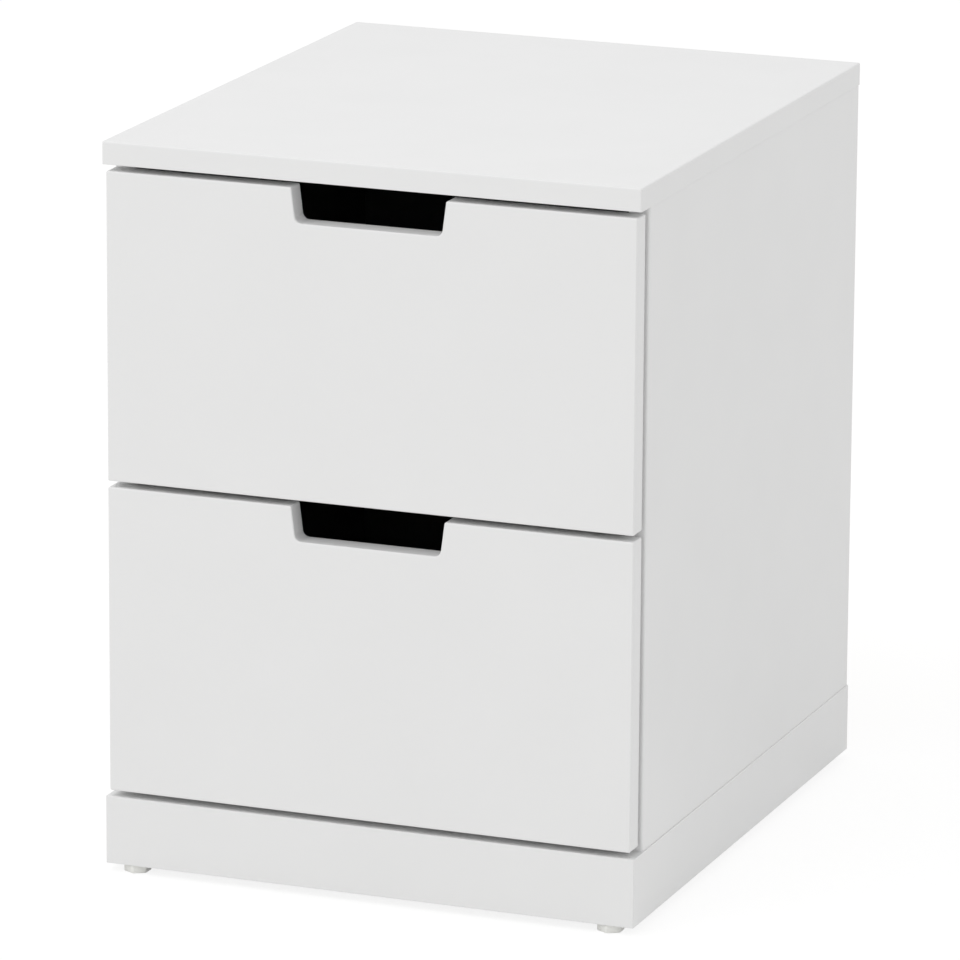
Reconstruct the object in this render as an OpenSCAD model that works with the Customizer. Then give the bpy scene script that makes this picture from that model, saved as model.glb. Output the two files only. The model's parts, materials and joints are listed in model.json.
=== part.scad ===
// White chest with two drawers, drawn in millimetres.
// The front faces -Y, +X is the right-hand side and Z = 0 is the floor under the feet.

/* [Chest] */
// Width of the top and of the plinth
chest_w = 400; // [360:1:600]
// Depth of the top and of the plinth
chest_d = 470; // [460:1:560]
// Thickness of the top panel
top_t = 16.5; // [14:0.5:22]
// How far the top stands out past each side panel
top_overhang = 1; // [0.5:0.1:1.5]
// Radius on the edges of the top and of the drawer fronts
edge_r = 1.5; // [0.5:0.1:2.5]
// Thickness of the side panels, the bottom panel and the cross rails
board_t = 16; // [15:0.5:19]
// Width of each cross rail under the top
rail_w = 70; // [60:1:90]
// Distance from the front edges of the side panels to the front rail
rail_setback = 64; // [50:1:90]
// Thickness of the hardboard back
back_t = 3; // [2.5:0.5:5]
// Distance from the rear edges of the side panels to the back
back_inset = 10; // [6:0.5:14]
// Depth of the grooves that hold the back and the drawer bottoms
groove_d = 6; // [4:0.5:7]

/* [Plinth and feet] */
// Height of the plinth boards
plinth_h = 50; // [46:1:80]
// Thickness of the plinth boards
plinth_t = 22; // [16:0.5:24]
// Length of each leg of the corner blocks
block_leg = 50; // [40:1:60]
// Height of the corner blocks
block_h = 32; // [26:1:40]
// Height of the foot pads, from the floor to the plinth
foot_h = 6; // [4:0.5:10]
// Radius of the hexagonal foot pads, to a corner
foot_r = 10; // [8:0.1:10.5]
// Distance from the side of the plinth to a foot's axis
foot_inset = 20; // [18:0.5:60]
// Radius of the foot stems
stem_r = 3; // [2.5:0.1:3.2]
// Length of the foot stems above the pads
stem_len = 24; // [20:1:28]

/* [Drawers] */
// Height of each drawer front
front_h = 223; // [205:1:300]
// Thickness of the drawer fronts
front_t = 16.5; // [15:0.5:20]
// Gap above and below each drawer front
reveal = 4.5; // [3:0.5:6]
// Distance from the side of the top to the end of a drawer front
front_inset = 3; // [2:0.5:4]
// Gap between the drawer fronts and the side panels
front_gap = 4; // [3:0.5:6]
// Height of the drawer box above the lower edge of its front
box_rise = 22; // [20:0.5:26]
// Height of the drawer sides
box_h = 155; // [130:1:168]
// Length of the drawer sides
box_len = 382; // [372:1:400]
// Thickness of the drawer sides and backs
box_t = 12; // [11:0.5:15]
// Thickness of the drawer bottoms
bottom_t = 4; // [3:0.5:6]
// Height of the drawer bottom above the lower edges of the drawer sides
bottom_rise = 12; // [11.5:0.5:16]

/* [Finger notch] */
// Width of the notch at the top edge of the front
notch_w = 115; // [90:1:150]
// Depth of the notch below the top edge
notch_d = 25; // [18:1:30]
// How far each end of the notch leans inward on its way down
notch_lean = 3.2; // [1:0.2:6]
// Radius of the two lower corners of the notch
notch_r = 5; // [3:0.5:8]

/* [Runners] */
// Length of each runner
runner_len = 350; // [320:5:360]
// Space between a drawer side and the side panel
runner_gap = 12.5; // [12.5:0.1:13.5]
// Thickness of the runner steel
steel_t = 1.2; // [1:0.1:1.4]
// Radius of the rollers
roller_r = 8; // [7:0.1:8.5]
// Radius of the roller axles
axle_r = 2.5; // [2:0.1:3]

/* [Fittings] */
// Radius of the wooden dowels
dowel_r = 4; // [3:0.5:4.5]
// Length of the wooden dowels
dowel_len = 30; // [26:1:36]
// Radius of the cam locks
cam_r = 7.4; // [6.8:0.1:8]
// Distance from a joint to the centre of its cam lock
cam_reach = 24; // [22:1:30]
// Radius of the cam bolts
bolt_r = 3; // [2.6:0.1:3.2]
// Radius of the screw shanks
screw_r = 1.75; // [1.5:0.05:2]
// How far the drawer box screws go into the second board
screw_bite = 16; // [12:1:24]
// Radius of the nails in the back
nail_r = 0.9; // [0.7:0.1:1.2]

/* [Hidden] */
$fn = 64;

// Colours of the pieces
white_foil = [0.92, 0.92, 0.91];
grey_foil = [0.42, 0.43, 0.45];
hardboard = [0.52, 0.38, 0.26];
beech = [0.82, 0.68, 0.47];
pine = [0.85, 0.72, 0.52];
zinc = [0.72, 0.73, 0.75];
white_steel = [0.88, 0.89, 0.9];
white_nylon = [0.9, 0.9, 0.88];

// Clearances: overshoot of a cut, a fastener in its hole, an axle in its roller, a roller on its track,
// and the end of a dowel in its hole
cut = 1;
fit = 0.1;
axle_fit = 0.08;
roll_play = 0.3;
side_play = 0.15;
dowel_gap = 0.5;

// Wood left between the end of a hole and the far face of a board, or of a drawer side
skin = 5;
thin_skin = 2.5;

// Outer planes and levels of the carcass
half_w = chest_w / 2;
half_d = chest_d / 2;
plinth_top = foot_h + plinth_h;
pitch = front_h + reveal;
top_z = plinth_top + 2 * pitch + reveal;
outer_x = half_w - top_overhang;
inner_x = outer_x - board_t;
front_y1 = front_t - half_d;
side_y0 = front_y1 + front_gap;
back_y1 = half_d - back_inset;
back_y0 = back_y1 - back_t;
bottom_d = back_y0 - side_y0;
bottom_mid = plinth_top + board_t / 2;
rail_mid = top_z - board_t / 2;
front_rail_y = side_y0 + rail_setback + rail_w / 2;
rear_rail_y = back_y0 - rail_w / 2;

// Joints between the side panels and the boards between them, as [y, z]
side_hole = board_t - skin;
bolt_in = board_t - skin;
thread_r = 0.8 * bolt_r;
dowel_spots = concat(
    [for (k = [0.08, 0.5, 0.92]) [side_y0 + k * bottom_d, bottom_mid]],
    [for (y = [front_rail_y, rear_rail_y], o = [-0.32, 0.32]) [y + o * rail_w, rail_mid]]
);
bolt_spots = concat(
    [for (k = [0.22, 0.78]) [side_y0 + k * bottom_d, bottom_mid]],
    [for (y = [front_rail_y, rear_rail_y]) [y, rail_mid]]
);
cam_over = 4;
cam_h = board_t / 2 + cam_over;
cam_slot = 1.6;
neck_len = 5;
knob_len = 3.5;
knob_over = 1.5;

// Screws and nails
head_r = 2 * screw_r;
head_t = 1.7;
drive_w = 0.9;
top_screw_x = 0.6 * inner_x;
top_screw_in = top_t - skin;
block_screw = 0.3 * block_leg;
block_screw_in = board_t - skin;
nail_x = [for (k = [-0.84, -0.28, 0.28, 0.84]) k * inner_x];
nail_len = 18;
nail_head_r = 3 * nail_r;
nail_head_t = 0.8;

// Feet: the corner of each pad stays just inside the face of the plinth
foot_y = half_d - foot_r - fit;
foot_x = half_w - foot_inset;
foot_gap = 0.2;
sleeve_wall = 1.2;
stem_room = 2;
sleeve_r = stem_r + roll_play + sleeve_wall;
sleeve_len = stem_len + stem_room;

// Drawer boxes of the lower drawer; the upper one is a pitch higher
front_z0 = plinth_top + reveal;
front_x = half_w - front_inset;
box_z0 = front_z0 + box_rise;
box_x = inner_x - runner_gap;
box_in_x = box_x - box_t;
box_y1 = front_y1 + box_len;
box_top = box_z0 + box_h;
groove_z = box_z0 + bottom_rise;
bottom_x = box_in_x + groove_d - roll_play;
back_z0 = groove_z + bottom_t;
box_cam_y = front_y1 + cam_reach;
box_cam_h = box_t / 2 + cam_over;
box_cam_z = [for (k = [0.32, 0.78]) box_z0 + k * box_h];
box_bolt_in = front_t - skin;
box_screw_y = box_y1 - box_t / 2;
box_screw_z = [for (k = [0.4, 0.8]) box_z0 + k * box_h];
box_screw_len = box_t + screw_bite;
floor_screw_x = [for (k = [-0.7, 0, 0.7]) k * box_in_x];
floor_screw_len = bottom_t + screw_bite;

// Notch corner: the angle between its end and its floor, and where the corner radius meets them
notch_half = notch_w / 2;
notch_hyp = sqrt(notch_lean * notch_lean + notch_d * notch_d);
notch_angle = 180 - acos(notch_lean / notch_hyp);
notch_run = notch_r / tan(notch_angle / 2);
notch_floor_x = notch_half - notch_lean;
notch_over = notch_half + notch_lean * cut / notch_d;
notch_end = [
    notch_floor_x + notch_run * notch_lean / notch_hyp,
    notch_run * notch_d / notch_hyp - notch_d
];

// Runner section, measured up from the floor of the channel and in from the side panel
channel_play = 1;
channel_h = 2 * roller_r + channel_play;
flange_w = 8.8;
roll_z = roller_r + roll_play;
track_lift = 1.3;
cab_roller_z = channel_h + steel_t + track_lift - roller_r;
track_z = cab_roller_z + roller_r + roll_play;
track_w = 9.5;
web_s = runner_gap - steel_t;
cab_setback = 2;
cab_nose = 4;
mouth = 5;
run_tail = 2;
cab_y0 = side_y0 + cab_setback;
cab_y1 = cab_y0 + runner_len;
cab_roller_y = cab_y0 + roller_r + cab_nose;
cab_flange_y = cab_roller_y + roller_r + mouth;
run_y0 = front_y1 + roll_play;
run_y1 = run_y0 + runner_len;
run_roller_y = run_y1 - roller_r - run_tail;
run_screw_in = box_t - thin_skin;
cab_screw_in = board_t - skin;
cab_screw_y = [for (k = [0.16, 0.5, 0.86]) cab_y0 + k * runner_len];
run_screw_y = [for (k = [0.12, 0.46, 0.8]) run_y0 + k * runner_len];
run_head_t = 1.6;
collar_w = 1.2;
collar_r = axle_r + collar_w;
collar_t = 0.8;
tip_t = 0.5;
tip_gap = 0.4;
flange_lip = 0.7;
run_tip_s = steel_t + head_t + roll_play;
run_roller_s0 = run_tip_s + tip_t + side_play;
run_roller_s1 = flange_w - flange_lip;
cab_roller_s0 = steel_t + collar_t + side_play;
cab_roller_s1 = web_s - run_head_t - tip_t - side_play - tip_gap;

// Box between two corners
module block(lo, hi) {
    translate(lo) cube(hi - lo);
}

// Round bars along X, Y and Z, between two values on that axis
module rod_x(x0, x1, y, z, r) {
    translate([x0, y, z]) rotate([0, 90, 0]) cylinder(h = x1 - x0, r = r);
}

module rod_y(y0, y1, x, z, r) {
    translate([x, y1, z]) rotate([90, 0, 0]) cylinder(h = y1 - y0, r = r);
}

module rod_z(z0, z1, x, y, r) {
    translate([x, y, z0]) cylinder(h = z1 - z0, r = r);
}

// Rectangle with rounded corners
module rounded(a, b, r) {
    union() {
        translate([r, 0]) square([a - 2 * r, b]);
        translate([0, r]) square([a, b - 2 * r]);
        for (x = [r, a - r], y = [r, b - r]) translate([x, y]) circle(r);
    }
}

// Board between two corners, with all its edges rounded
module eased_board(lo, hi, r) {
    s = hi - lo;
    translate(lo) intersection() {
        linear_extrude(s[2]) rounded(s[0], s[1], r);
        translate([0, s[1], 0]) rotate([90, 0, 0]) linear_extrude(s[1]) rounded(s[0], s[2], r);
        rotate([90, 0, 90]) linear_extrude(s[0]) rounded(s[1], s[2], r);
    }
}

// Pan-head screw with its head under Z = 0 and its shank along +Z
module pan_screw(len, head) {
    difference() {
        union() {
            translate([0, 0, -head]) cylinder(h = head, r = head_r);
            cylinder(h = len, r = screw_r);
        }
        for (a = [0, 90]) rotate([0, 0, a])
            block([-screw_r, -drive_w / 2, -head - cut], [screw_r, drive_w / 2, -head / 2]);
    }
}

// Places a piece drawn for the right side (1) or its mirror image (-1)
module on_side(s) {
    if (s < 0) mirror([1, 0, 0]) children();
    else children();
}

// Places a piece drawn for the front right corner at any corner
module at_corner(sx, sy) {
    on_side(sx) {
        if (sy > 0) mirror([0, 1, 0]) children();
        else children();
    }
}

// Lifts a piece drawn for the lower drawer to drawer n, counted up from 0
module at_level(n) {
    translate([0, 0, n * pitch]) children();
}

// Holes at both ends of a board between the side panels, with cam pockets in its underside
module end_holes(z_mid) {
    z0 = z_mid - board_t / 2;
    for (s = [-1, 1]) on_side(s) {
        for (p = dowel_spots) if (p[1] == z_mid)
            rod_x(inner_x + side_hole - dowel_len - 2 * dowel_gap, inner_x + cut, p[0], z_mid, dowel_r + fit);
        for (p = bolt_spots) if (p[1] == z_mid) {
            rod_x(inner_x - cam_reach, inner_x + cut, p[0], z_mid, bolt_r + roll_play);
            rod_z(z0 - cut, z0 + cam_h + fit, inner_x - cam_reach, p[0], cam_r + fit);
        }
    }
}

// Nail holes in a board or panel, from y0 to y1
module nail_holes(z, y0, y1) {
    for (x = nail_x) rod_y(y0, y1, x, z, nail_r + fit / 2);
}

module side_panel() {
    difference() {
        block([inner_x, side_y0, plinth_top], [outer_x, half_d, top_z]);
        block(
            [inner_x - cut, back_y0 - fit, plinth_top - cut],
            [inner_x + groove_d, back_y1 + fit, top_z + cut]
        );
        for (p = dowel_spots) rod_x(inner_x - cut, inner_x + side_hole, p[0], p[1], dowel_r + fit);
        for (p = bolt_spots) rod_x(inner_x - cut, inner_x + bolt_in + fit, p[0], p[1], thread_r + fit);
        for (n = [0, 1], y = cab_screw_y)
            rod_x(inner_x - cut, inner_x + cab_screw_in + fit, y, box_z0 + n * pitch + roll_z, screw_r + fit);
    }
}

module cross_rail(y) {
    difference() {
        block([-inner_x, y - rail_w / 2, top_z - board_t], [inner_x, y + rail_w / 2, top_z]);
        intersection() {
            end_holes(rail_mid);
            block([-chest_w, y - rail_w / 2, 0], [chest_w, y + rail_w / 2, 2 * top_z]);
        }
        for (s = [-1, 1]) rod_z(top_z - board_t - cut, top_z + cut, s * top_screw_x, y, screw_r + fit);
    }
}

module plinth_end_board() {
    difference() {
        translate([0, 0, foot_h]) linear_extrude(plinth_h) polygon([
            [-half_w, -half_d],
            [half_w, -half_d],
            [half_w - plinth_t, plinth_t - half_d],
            [plinth_t - half_w, plinth_t - half_d]
        ]);
        for (s = [-1, 1]) rod_z(foot_h - cut, foot_h + sleeve_len + fit, s * foot_x, -foot_y, sleeve_r + fit);
    }
}

module plinth_side_board() {
    translate([0, 0, foot_h]) linear_extrude(plinth_h) polygon([
        [half_w, -half_d],
        [half_w, half_d],
        [half_w - plinth_t, half_d - plinth_t],
        [half_w - plinth_t, plinth_t - half_d]
    ]);
}

module corner_block() {
    x = half_w - plinth_t;
    y = plinth_t - half_d;
    difference() {
        translate([0, 0, plinth_top - block_h]) linear_extrude(block_h)
            polygon([[x, y], [x, y + block_leg], [x - block_leg, y]]);
        rod_z(plinth_top - block_h - cut, plinth_top + cut, x - block_screw, y + block_screw, screw_r + fit);
    }
}

module foot() {
    translate([foot_x, -foot_y, 0]) {
        rotate([0, 0, 30]) cylinder(h = foot_h - foot_gap, r = foot_r, $fn = 6);
        translate([0, 0, foot_h / 2]) cylinder(h = foot_h / 2 + stem_len, r = stem_r);
    }
}

module foot_sleeve() {
    difference() {
        rod_z(foot_h, foot_h + sleeve_len, foot_x, -foot_y, sleeve_r);
        rod_z(foot_h - cut, foot_h + sleeve_len + cut, foot_x, -foot_y, stem_r + roll_play);
    }
}

// Cam bolt with its thread below Z = 0 and its rod along +Z, up to the cam lock
module cam_bolt(thread_len) {
    translate([0, 0, -thread_len]) cylinder(h = thread_len, r = thread_r);
    cylinder(h = cam_reach - neck_len, r = bolt_r);
    cylinder(h = cam_reach, r = 0.7 * bolt_r);
    translate([0, 0, cam_reach + knob_over - knob_len]) cylinder(h = knob_len, r = bolt_r);
}

// Cam lock standing on Z = 0 face down, with its bolt hole facing +X at height z
module cam_lock(h, z) {
    difference() {
        cylinder(h = h, r = cam_r);
        rod_x(-2 * cut, cam_r + cut, 0, z, bolt_r + roll_play);
        block([-0.7 * cam_r, -cam_slot / 2, -cut], [0.7 * cam_r, cam_slot / 2, cam_slot]);
    }
}

module cabinet_runner() {
    difference() {
        union() {
            block(
                [inner_x - steel_t, cab_y0, box_z0 - steel_t],
                [inner_x, cab_y1, box_z0 + channel_h + steel_t]
            );
            block([inner_x - flange_w, cab_y0, box_z0 - steel_t], [inner_x, cab_y1, box_z0]);
            block(
                [inner_x - flange_w, cab_flange_y, box_z0 + channel_h],
                [inner_x, cab_y1, box_z0 + channel_h + steel_t]
            );
        }
        rod_x(inner_x - 2 * steel_t, inner_x + cut, cab_roller_y, box_z0 + cab_roller_z, axle_r + fit);
        for (y = cab_screw_y) rod_x(inner_x - 2 * steel_t, inner_x + cut, y, box_z0 + roll_z, screw_r + fit);
    }
}

module cabinet_roller_axle() {
    z = box_z0 + cab_roller_z;
    tip_x = inner_x - cab_roller_s1 - side_play;
    rod_x(tip_x, inner_x - fit, cab_roller_y, z, axle_r);
    rod_x(inner_x - steel_t - collar_t, inner_x - steel_t, cab_roller_y, z, collar_r);
    rod_x(tip_x - tip_t, tip_x, cab_roller_y, z, collar_r);
}

module cabinet_roller() {
    x0 = inner_x - cab_roller_s1;
    x1 = inner_x - cab_roller_s0;
    z = box_z0 + cab_roller_z;
    difference() {
        rod_x(x0, x1, cab_roller_y, z, roller_r);
        rod_x(x0 - cut, x1 + cut, cab_roller_y, z, axle_r + axle_fit);
    }
}

module drawer_runner() {
    difference() {
        union() {
            block([box_x, run_y0, box_z0 - steel_t], [box_x + steel_t, run_y1, box_z0 + track_z + steel_t]);
            block([box_in_x, run_y0, box_z0 - steel_t], [box_x + steel_t, run_y1, box_z0]);
            block([box_x, run_y0, box_z0 + track_z], [box_x + track_w, run_y1, box_z0 + track_z + steel_t]);
        }
        rod_x(box_x - cut, box_x + 2 * steel_t, run_roller_y, box_z0 + roll_z, axle_r + fit);
        for (y = run_screw_y) rod_x(box_x - cut, box_x + 2 * steel_t, y, box_z0 + roll_z, screw_r + fit);
    }
}

module drawer_roller_axle() {
    z = box_z0 + roll_z;
    rod_x(inner_x - web_s - steel_t + fit, inner_x - run_tip_s - tip_t, run_roller_y, z, axle_r);
    rod_x(inner_x - web_s, inner_x - run_roller_s1 - side_play, run_roller_y, z, collar_r);
    rod_x(inner_x - run_tip_s - tip_t, inner_x - run_tip_s, run_roller_y, z, collar_r);
}

module drawer_roller() {
    x0 = inner_x - run_roller_s1;
    x1 = inner_x - run_roller_s0;
    z = box_z0 + roll_z;
    difference() {
        rod_x(x0, x1, run_roller_y, z, roller_r);
        rod_x(x0 - cut, x1 + cut, run_roller_y, z, axle_r + axle_fit);
    }
}

module notch_profile() {
    union() {
        polygon([
            [-notch_over, cut],
            [notch_over, cut],
            notch_end,
            [notch_floor_x - notch_run, -notch_d],
            [notch_run - notch_floor_x, -notch_d],
            [-notch_end[0], notch_end[1]]
        ]);
        for (s = [-1, 1]) translate([s * (notch_floor_x - notch_run), notch_r - notch_d]) circle(notch_r);
    }
}

module drawer_front() {
    difference() {
        eased_board([-front_x, -half_d, front_z0], [front_x, front_y1, front_z0 + front_h], edge_r);
        translate([0, front_y1 + cut, front_z0 + front_h]) rotate([90, 0, 0])
            linear_extrude(front_t + 2 * cut) notch_profile();
        block(
            [-bottom_x - fit, front_y1 - groove_d, groove_z],
            [bottom_x + fit, front_y1 + cut, groove_z + bottom_t + fit]
        );
        for (s = [-1, 1], z = box_cam_z)
            rod_y(front_y1 - box_bolt_in - fit, front_y1 + cut, s * (box_x - box_t / 2), z, thread_r + fit);
    }
}

module drawer_side() {
    difference() {
        block([box_in_x, front_y1, box_z0], [box_x, box_y1, box_top]);
        block(
            [box_in_x - cut, front_y1 - cut, groove_z],
            [box_in_x + groove_d, box_y1 + cut, groove_z + bottom_t + fit]
        );
        for (z = box_cam_z) {
            rod_y(front_y1 - cut, box_cam_y, box_x - box_t / 2, z, bolt_r + roll_play);
            rod_x(box_x - box_cam_h - fit, box_x + cut, box_cam_y, z, cam_r + fit);
        }
        for (z = box_screw_z) rod_x(box_in_x - cut, box_x + cut, box_screw_y, z, screw_r + fit);
        for (y = run_screw_y)
            rod_x(box_x - run_screw_in - fit, box_x + cut, y, box_z0 + roll_z, screw_r + fit);
    }
}

module drawer_back() {
    difference() {
        block([-box_in_x, box_y1 - box_t, back_z0], [box_in_x, box_y1, box_top]);
        for (s = [-1, 1], z = box_screw_z) on_side(s)
            rod_x(box_x - box_screw_len - fit, box_x, box_screw_y, z, screw_r + fit);
        for (x = floor_screw_x)
            rod_z(back_z0 - cut, groove_z + floor_screw_len + fit, x, box_screw_y, screw_r + fit);
    }
}

module drawer_bottom() {
    difference() {
        block([-bottom_x, front_y1 - groove_d + roll_play, groove_z], [bottom_x, box_y1, back_z0]);
        for (x = floor_screw_x) rod_z(groove_z - cut, back_z0 + cut, x, box_screw_y, screw_r + fit);
    }
}

module drawer_runner_screws() {
    for (s = [-1, 1], y = run_screw_y) on_side(s)
        translate([box_x + steel_t, y, box_z0 + roll_z]) rotate([0, -90, 0])
            pan_screw(steel_t + run_screw_in, run_head_t);
}

module drawer_roller_axles() {
    for (s = [-1, 1]) on_side(s) drawer_roller_axle();
}

module drawer_cam_bolts() {
    for (s = [-1, 1], z = box_cam_z)
        translate([s * (box_x - box_t / 2), front_y1, z]) rotate([-90, 0, 0]) cam_bolt(box_bolt_in);
}

module drawer_cam_locks() {
    for (s = [-1, 1], z = box_cam_z) on_side(s)
        translate([box_x - fit, box_cam_y, z]) rotate([0, -90, 0]) rotate([0, 0, -90])
            cam_lock(box_cam_h - fit, box_t / 2 - fit);
}

module drawer_box_screws() {
    for (s = [-1, 1], z = box_screw_z) on_side(s)
        translate([box_x, box_screw_y, z]) rotate([0, -90, 0]) pan_screw(box_screw_len, head_t);
    for (x = floor_screw_x) translate([x, box_screw_y, groove_z]) pan_screw(floor_screw_len, head_t);
}

module top_panel() {
    color(white_foil) difference() {
        eased_board([-half_w, -half_d, top_z], [half_w, half_d, top_z + top_t], edge_r);
        for (s = [-1, 1], y = [front_rail_y, rear_rail_y])
            rod_z(top_z - cut, top_z + top_screw_in + fit, s * top_screw_x, y, screw_r + fit);
    }
}

module left_side_panel() {
    color(white_foil) on_side(-1) side_panel();
}

module right_side_panel() {
    color(white_foil) on_side(1) side_panel();
}

module bottom_panel() {
    color(white_foil) difference() {
        block([-inner_x, side_y0, plinth_top], [inner_x, back_y0, plinth_top + board_t]);
        end_holes(bottom_mid);
        nail_holes(bottom_mid, back_y1 - nail_len - fit, back_y0 + cut);
        for (sx = [-1, 1], sy = [-1, 1]) at_corner(sx, sy) rod_z(
            plinth_top - cut,
            plinth_top + block_screw_in + fit,
            half_w - plinth_t - block_screw,
            plinth_t - half_d + block_screw,
            screw_r + fit
        );
    }
}

module back_panel() {
    color(hardboard) difference() {
        block(
            [roll_play - inner_x - groove_d, back_y0, plinth_top],
            [inner_x + groove_d - roll_play, back_y1, top_z - roll_play]
        );
        for (z = [bottom_mid, rail_mid]) nail_holes(z, back_y0 - cut, back_y1 + cut);
    }
}

module front_top_rail() {
    color(white_foil) cross_rail(front_rail_y);
}

module rear_top_rail() {
    color(white_foil) difference() {
        cross_rail(rear_rail_y);
        nail_holes(rail_mid, back_y1 - nail_len - fit, back_y0 + cut);
    }
}

module plinth_front_board() {
    color(white_foil) plinth_end_board();
}

module plinth_rear_board() {
    color(white_foil) mirror([0, 1, 0]) plinth_end_board();
}

module plinth_left_board() {
    color(white_foil) on_side(-1) plinth_side_board();
}

module plinth_right_board() {
    color(white_foil) on_side(1) plinth_side_board();
}

module plinth_corner_blocks() {
    color(pine) for (sx = [-1, 1], sy = [-1, 1]) at_corner(sx, sy) corner_block();
}

module foot_sleeves() {
    color(zinc) for (sx = [-1, 1], sy = [-1, 1]) at_corner(sx, sy) foot_sleeve();
}

module carcass_dowels() {
    color(beech) for (s = [-1, 1], p = dowel_spots) on_side(s)
        rod_x(
            inner_x + side_hole - dowel_gap - dowel_len,
            inner_x + side_hole - dowel_gap,
            p[0],
            p[1],
            dowel_r
        );
}

module carcass_cam_bolts() {
    color(zinc) for (s = [-1, 1], p = bolt_spots) on_side(s)
        translate([inner_x, p[0], p[1]]) rotate([0, -90, 0]) cam_bolt(bolt_in);
}

module carcass_cam_locks() {
    color(zinc) for (s = [-1, 1], p = bolt_spots) on_side(s)
        translate([inner_x - cam_reach, p[0], p[1] - board_t / 2 + fit])
            cam_lock(cam_h - fit, board_t / 2 - fit);
}

// Screws up through the rails into the top, and up through the corner blocks into the bottom panel
module carcass_screws() {
    color(zinc) {
        for (s = [-1, 1], y = [front_rail_y, rear_rail_y])
            translate([s * top_screw_x, y, top_z - board_t]) pan_screw(board_t + top_screw_in, head_t);
        for (sx = [-1, 1], sy = [-1, 1]) at_corner(sx, sy) translate([
            half_w - plinth_t - block_screw,
            plinth_t - half_d + block_screw,
            plinth_top - block_h
        ]) pan_screw(block_h + block_screw_in, head_t);
    }
}

module back_panel_nails() {
    color(zinc) for (x = nail_x, z = [bottom_mid, rail_mid]) {
        rod_y(back_y1 - nail_len, back_y1 + nail_head_t, x, z, nail_r);
        rod_y(back_y1, back_y1 + nail_head_t, x, z, nail_head_r);
    }
}

module upper_left_cabinet_runner() {
    color(white_steel) at_level(1) on_side(-1) cabinet_runner();
}

module upper_right_cabinet_runner() {
    color(white_steel) at_level(1) on_side(1) cabinet_runner();
}

module lower_left_cabinet_runner() {
    color(white_steel) at_level(0) on_side(-1) cabinet_runner();
}

module lower_right_cabinet_runner() {
    color(white_steel) at_level(0) on_side(1) cabinet_runner();
}

module cabinet_runner_screws() {
    color(zinc) for (n = [0, 1], s = [-1, 1], y = cab_screw_y) at_level(n) on_side(s)
        translate([inner_x - steel_t, y, box_z0 + roll_z]) rotate([0, 90, 0])
            pan_screw(steel_t + cab_screw_in, head_t);
}

module cabinet_roller_axles() {
    color(zinc) for (n = [0, 1], s = [-1, 1]) at_level(n) on_side(s) cabinet_roller_axle();
}

module upper_left_cabinet_roller() {
    color(white_nylon) at_level(1) on_side(-1) cabinet_roller();
}

module upper_right_cabinet_roller() {
    color(white_nylon) at_level(1) on_side(1) cabinet_roller();
}

module lower_left_cabinet_roller() {
    color(white_nylon) at_level(0) on_side(-1) cabinet_roller();
}

module lower_right_cabinet_roller() {
    color(white_nylon) at_level(0) on_side(1) cabinet_roller();
}

module front_left_foot() {
    color(white_nylon) at_corner(-1, -1) foot();
}

module front_right_foot() {
    color(white_nylon) at_corner(1, -1) foot();
}

module rear_left_foot() {
    color(white_nylon) at_corner(-1, 1) foot();
}

module rear_right_foot() {
    color(white_nylon) at_corner(1, 1) foot();
}

module upper_drawer_front() {
    color(white_foil) at_level(1) drawer_front();
}

module upper_drawer_left_side() {
    color(grey_foil) at_level(1) on_side(-1) drawer_side();
}

module upper_drawer_right_side() {
    color(grey_foil) at_level(1) on_side(1) drawer_side();
}

module upper_drawer_back() {
    color(grey_foil) at_level(1) drawer_back();
}

module upper_drawer_bottom() {
    color(grey_foil) at_level(1) drawer_bottom();
}

module upper_drawer_left_runner() {
    color(white_steel) at_level(1) on_side(-1) drawer_runner();
}

module upper_drawer_right_runner() {
    color(white_steel) at_level(1) on_side(1) drawer_runner();
}

module upper_drawer_runner_screws() {
    color(zinc) at_level(1) drawer_runner_screws();
}

module upper_drawer_roller_axles() {
    color(zinc) at_level(1) drawer_roller_axles();
}

module upper_left_drawer_roller() {
    color(white_nylon) at_level(1) on_side(-1) drawer_roller();
}

module upper_right_drawer_roller() {
    color(white_nylon) at_level(1) on_side(1) drawer_roller();
}

module upper_drawer_cam_bolts() {
    color(zinc) at_level(1) drawer_cam_bolts();
}

module upper_drawer_cam_locks() {
    color(zinc) at_level(1) drawer_cam_locks();
}

module upper_drawer_box_screws() {
    color(zinc) at_level(1) drawer_box_screws();
}

module lower_drawer_front() {
    color(white_foil) at_level(0) drawer_front();
}

module lower_drawer_left_side() {
    color(grey_foil) at_level(0) on_side(-1) drawer_side();
}

module lower_drawer_right_side() {
    color(grey_foil) at_level(0) on_side(1) drawer_side();
}

module lower_drawer_back() {
    color(grey_foil) at_level(0) drawer_back();
}

module lower_drawer_bottom() {
    color(grey_foil) at_level(0) drawer_bottom();
}

module lower_drawer_left_runner() {
    color(white_steel) at_level(0) on_side(-1) drawer_runner();
}

module lower_drawer_right_runner() {
    color(white_steel) at_level(0) on_side(1) drawer_runner();
}

module lower_drawer_runner_screws() {
    color(zinc) at_level(0) drawer_runner_screws();
}

module lower_drawer_roller_axles() {
    color(zinc) at_level(0) drawer_roller_axles();
}

module lower_left_drawer_roller() {
    color(white_nylon) at_level(0) on_side(-1) drawer_roller();
}

module lower_right_drawer_roller() {
    color(white_nylon) at_level(0) on_side(1) drawer_roller();
}

module lower_drawer_cam_bolts() {
    color(zinc) at_level(0) drawer_cam_bolts();
}

module lower_drawer_cam_locks() {
    color(zinc) at_level(0) drawer_cam_locks();
}

module lower_drawer_box_screws() {
    color(zinc) at_level(0) drawer_box_screws();
}

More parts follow.
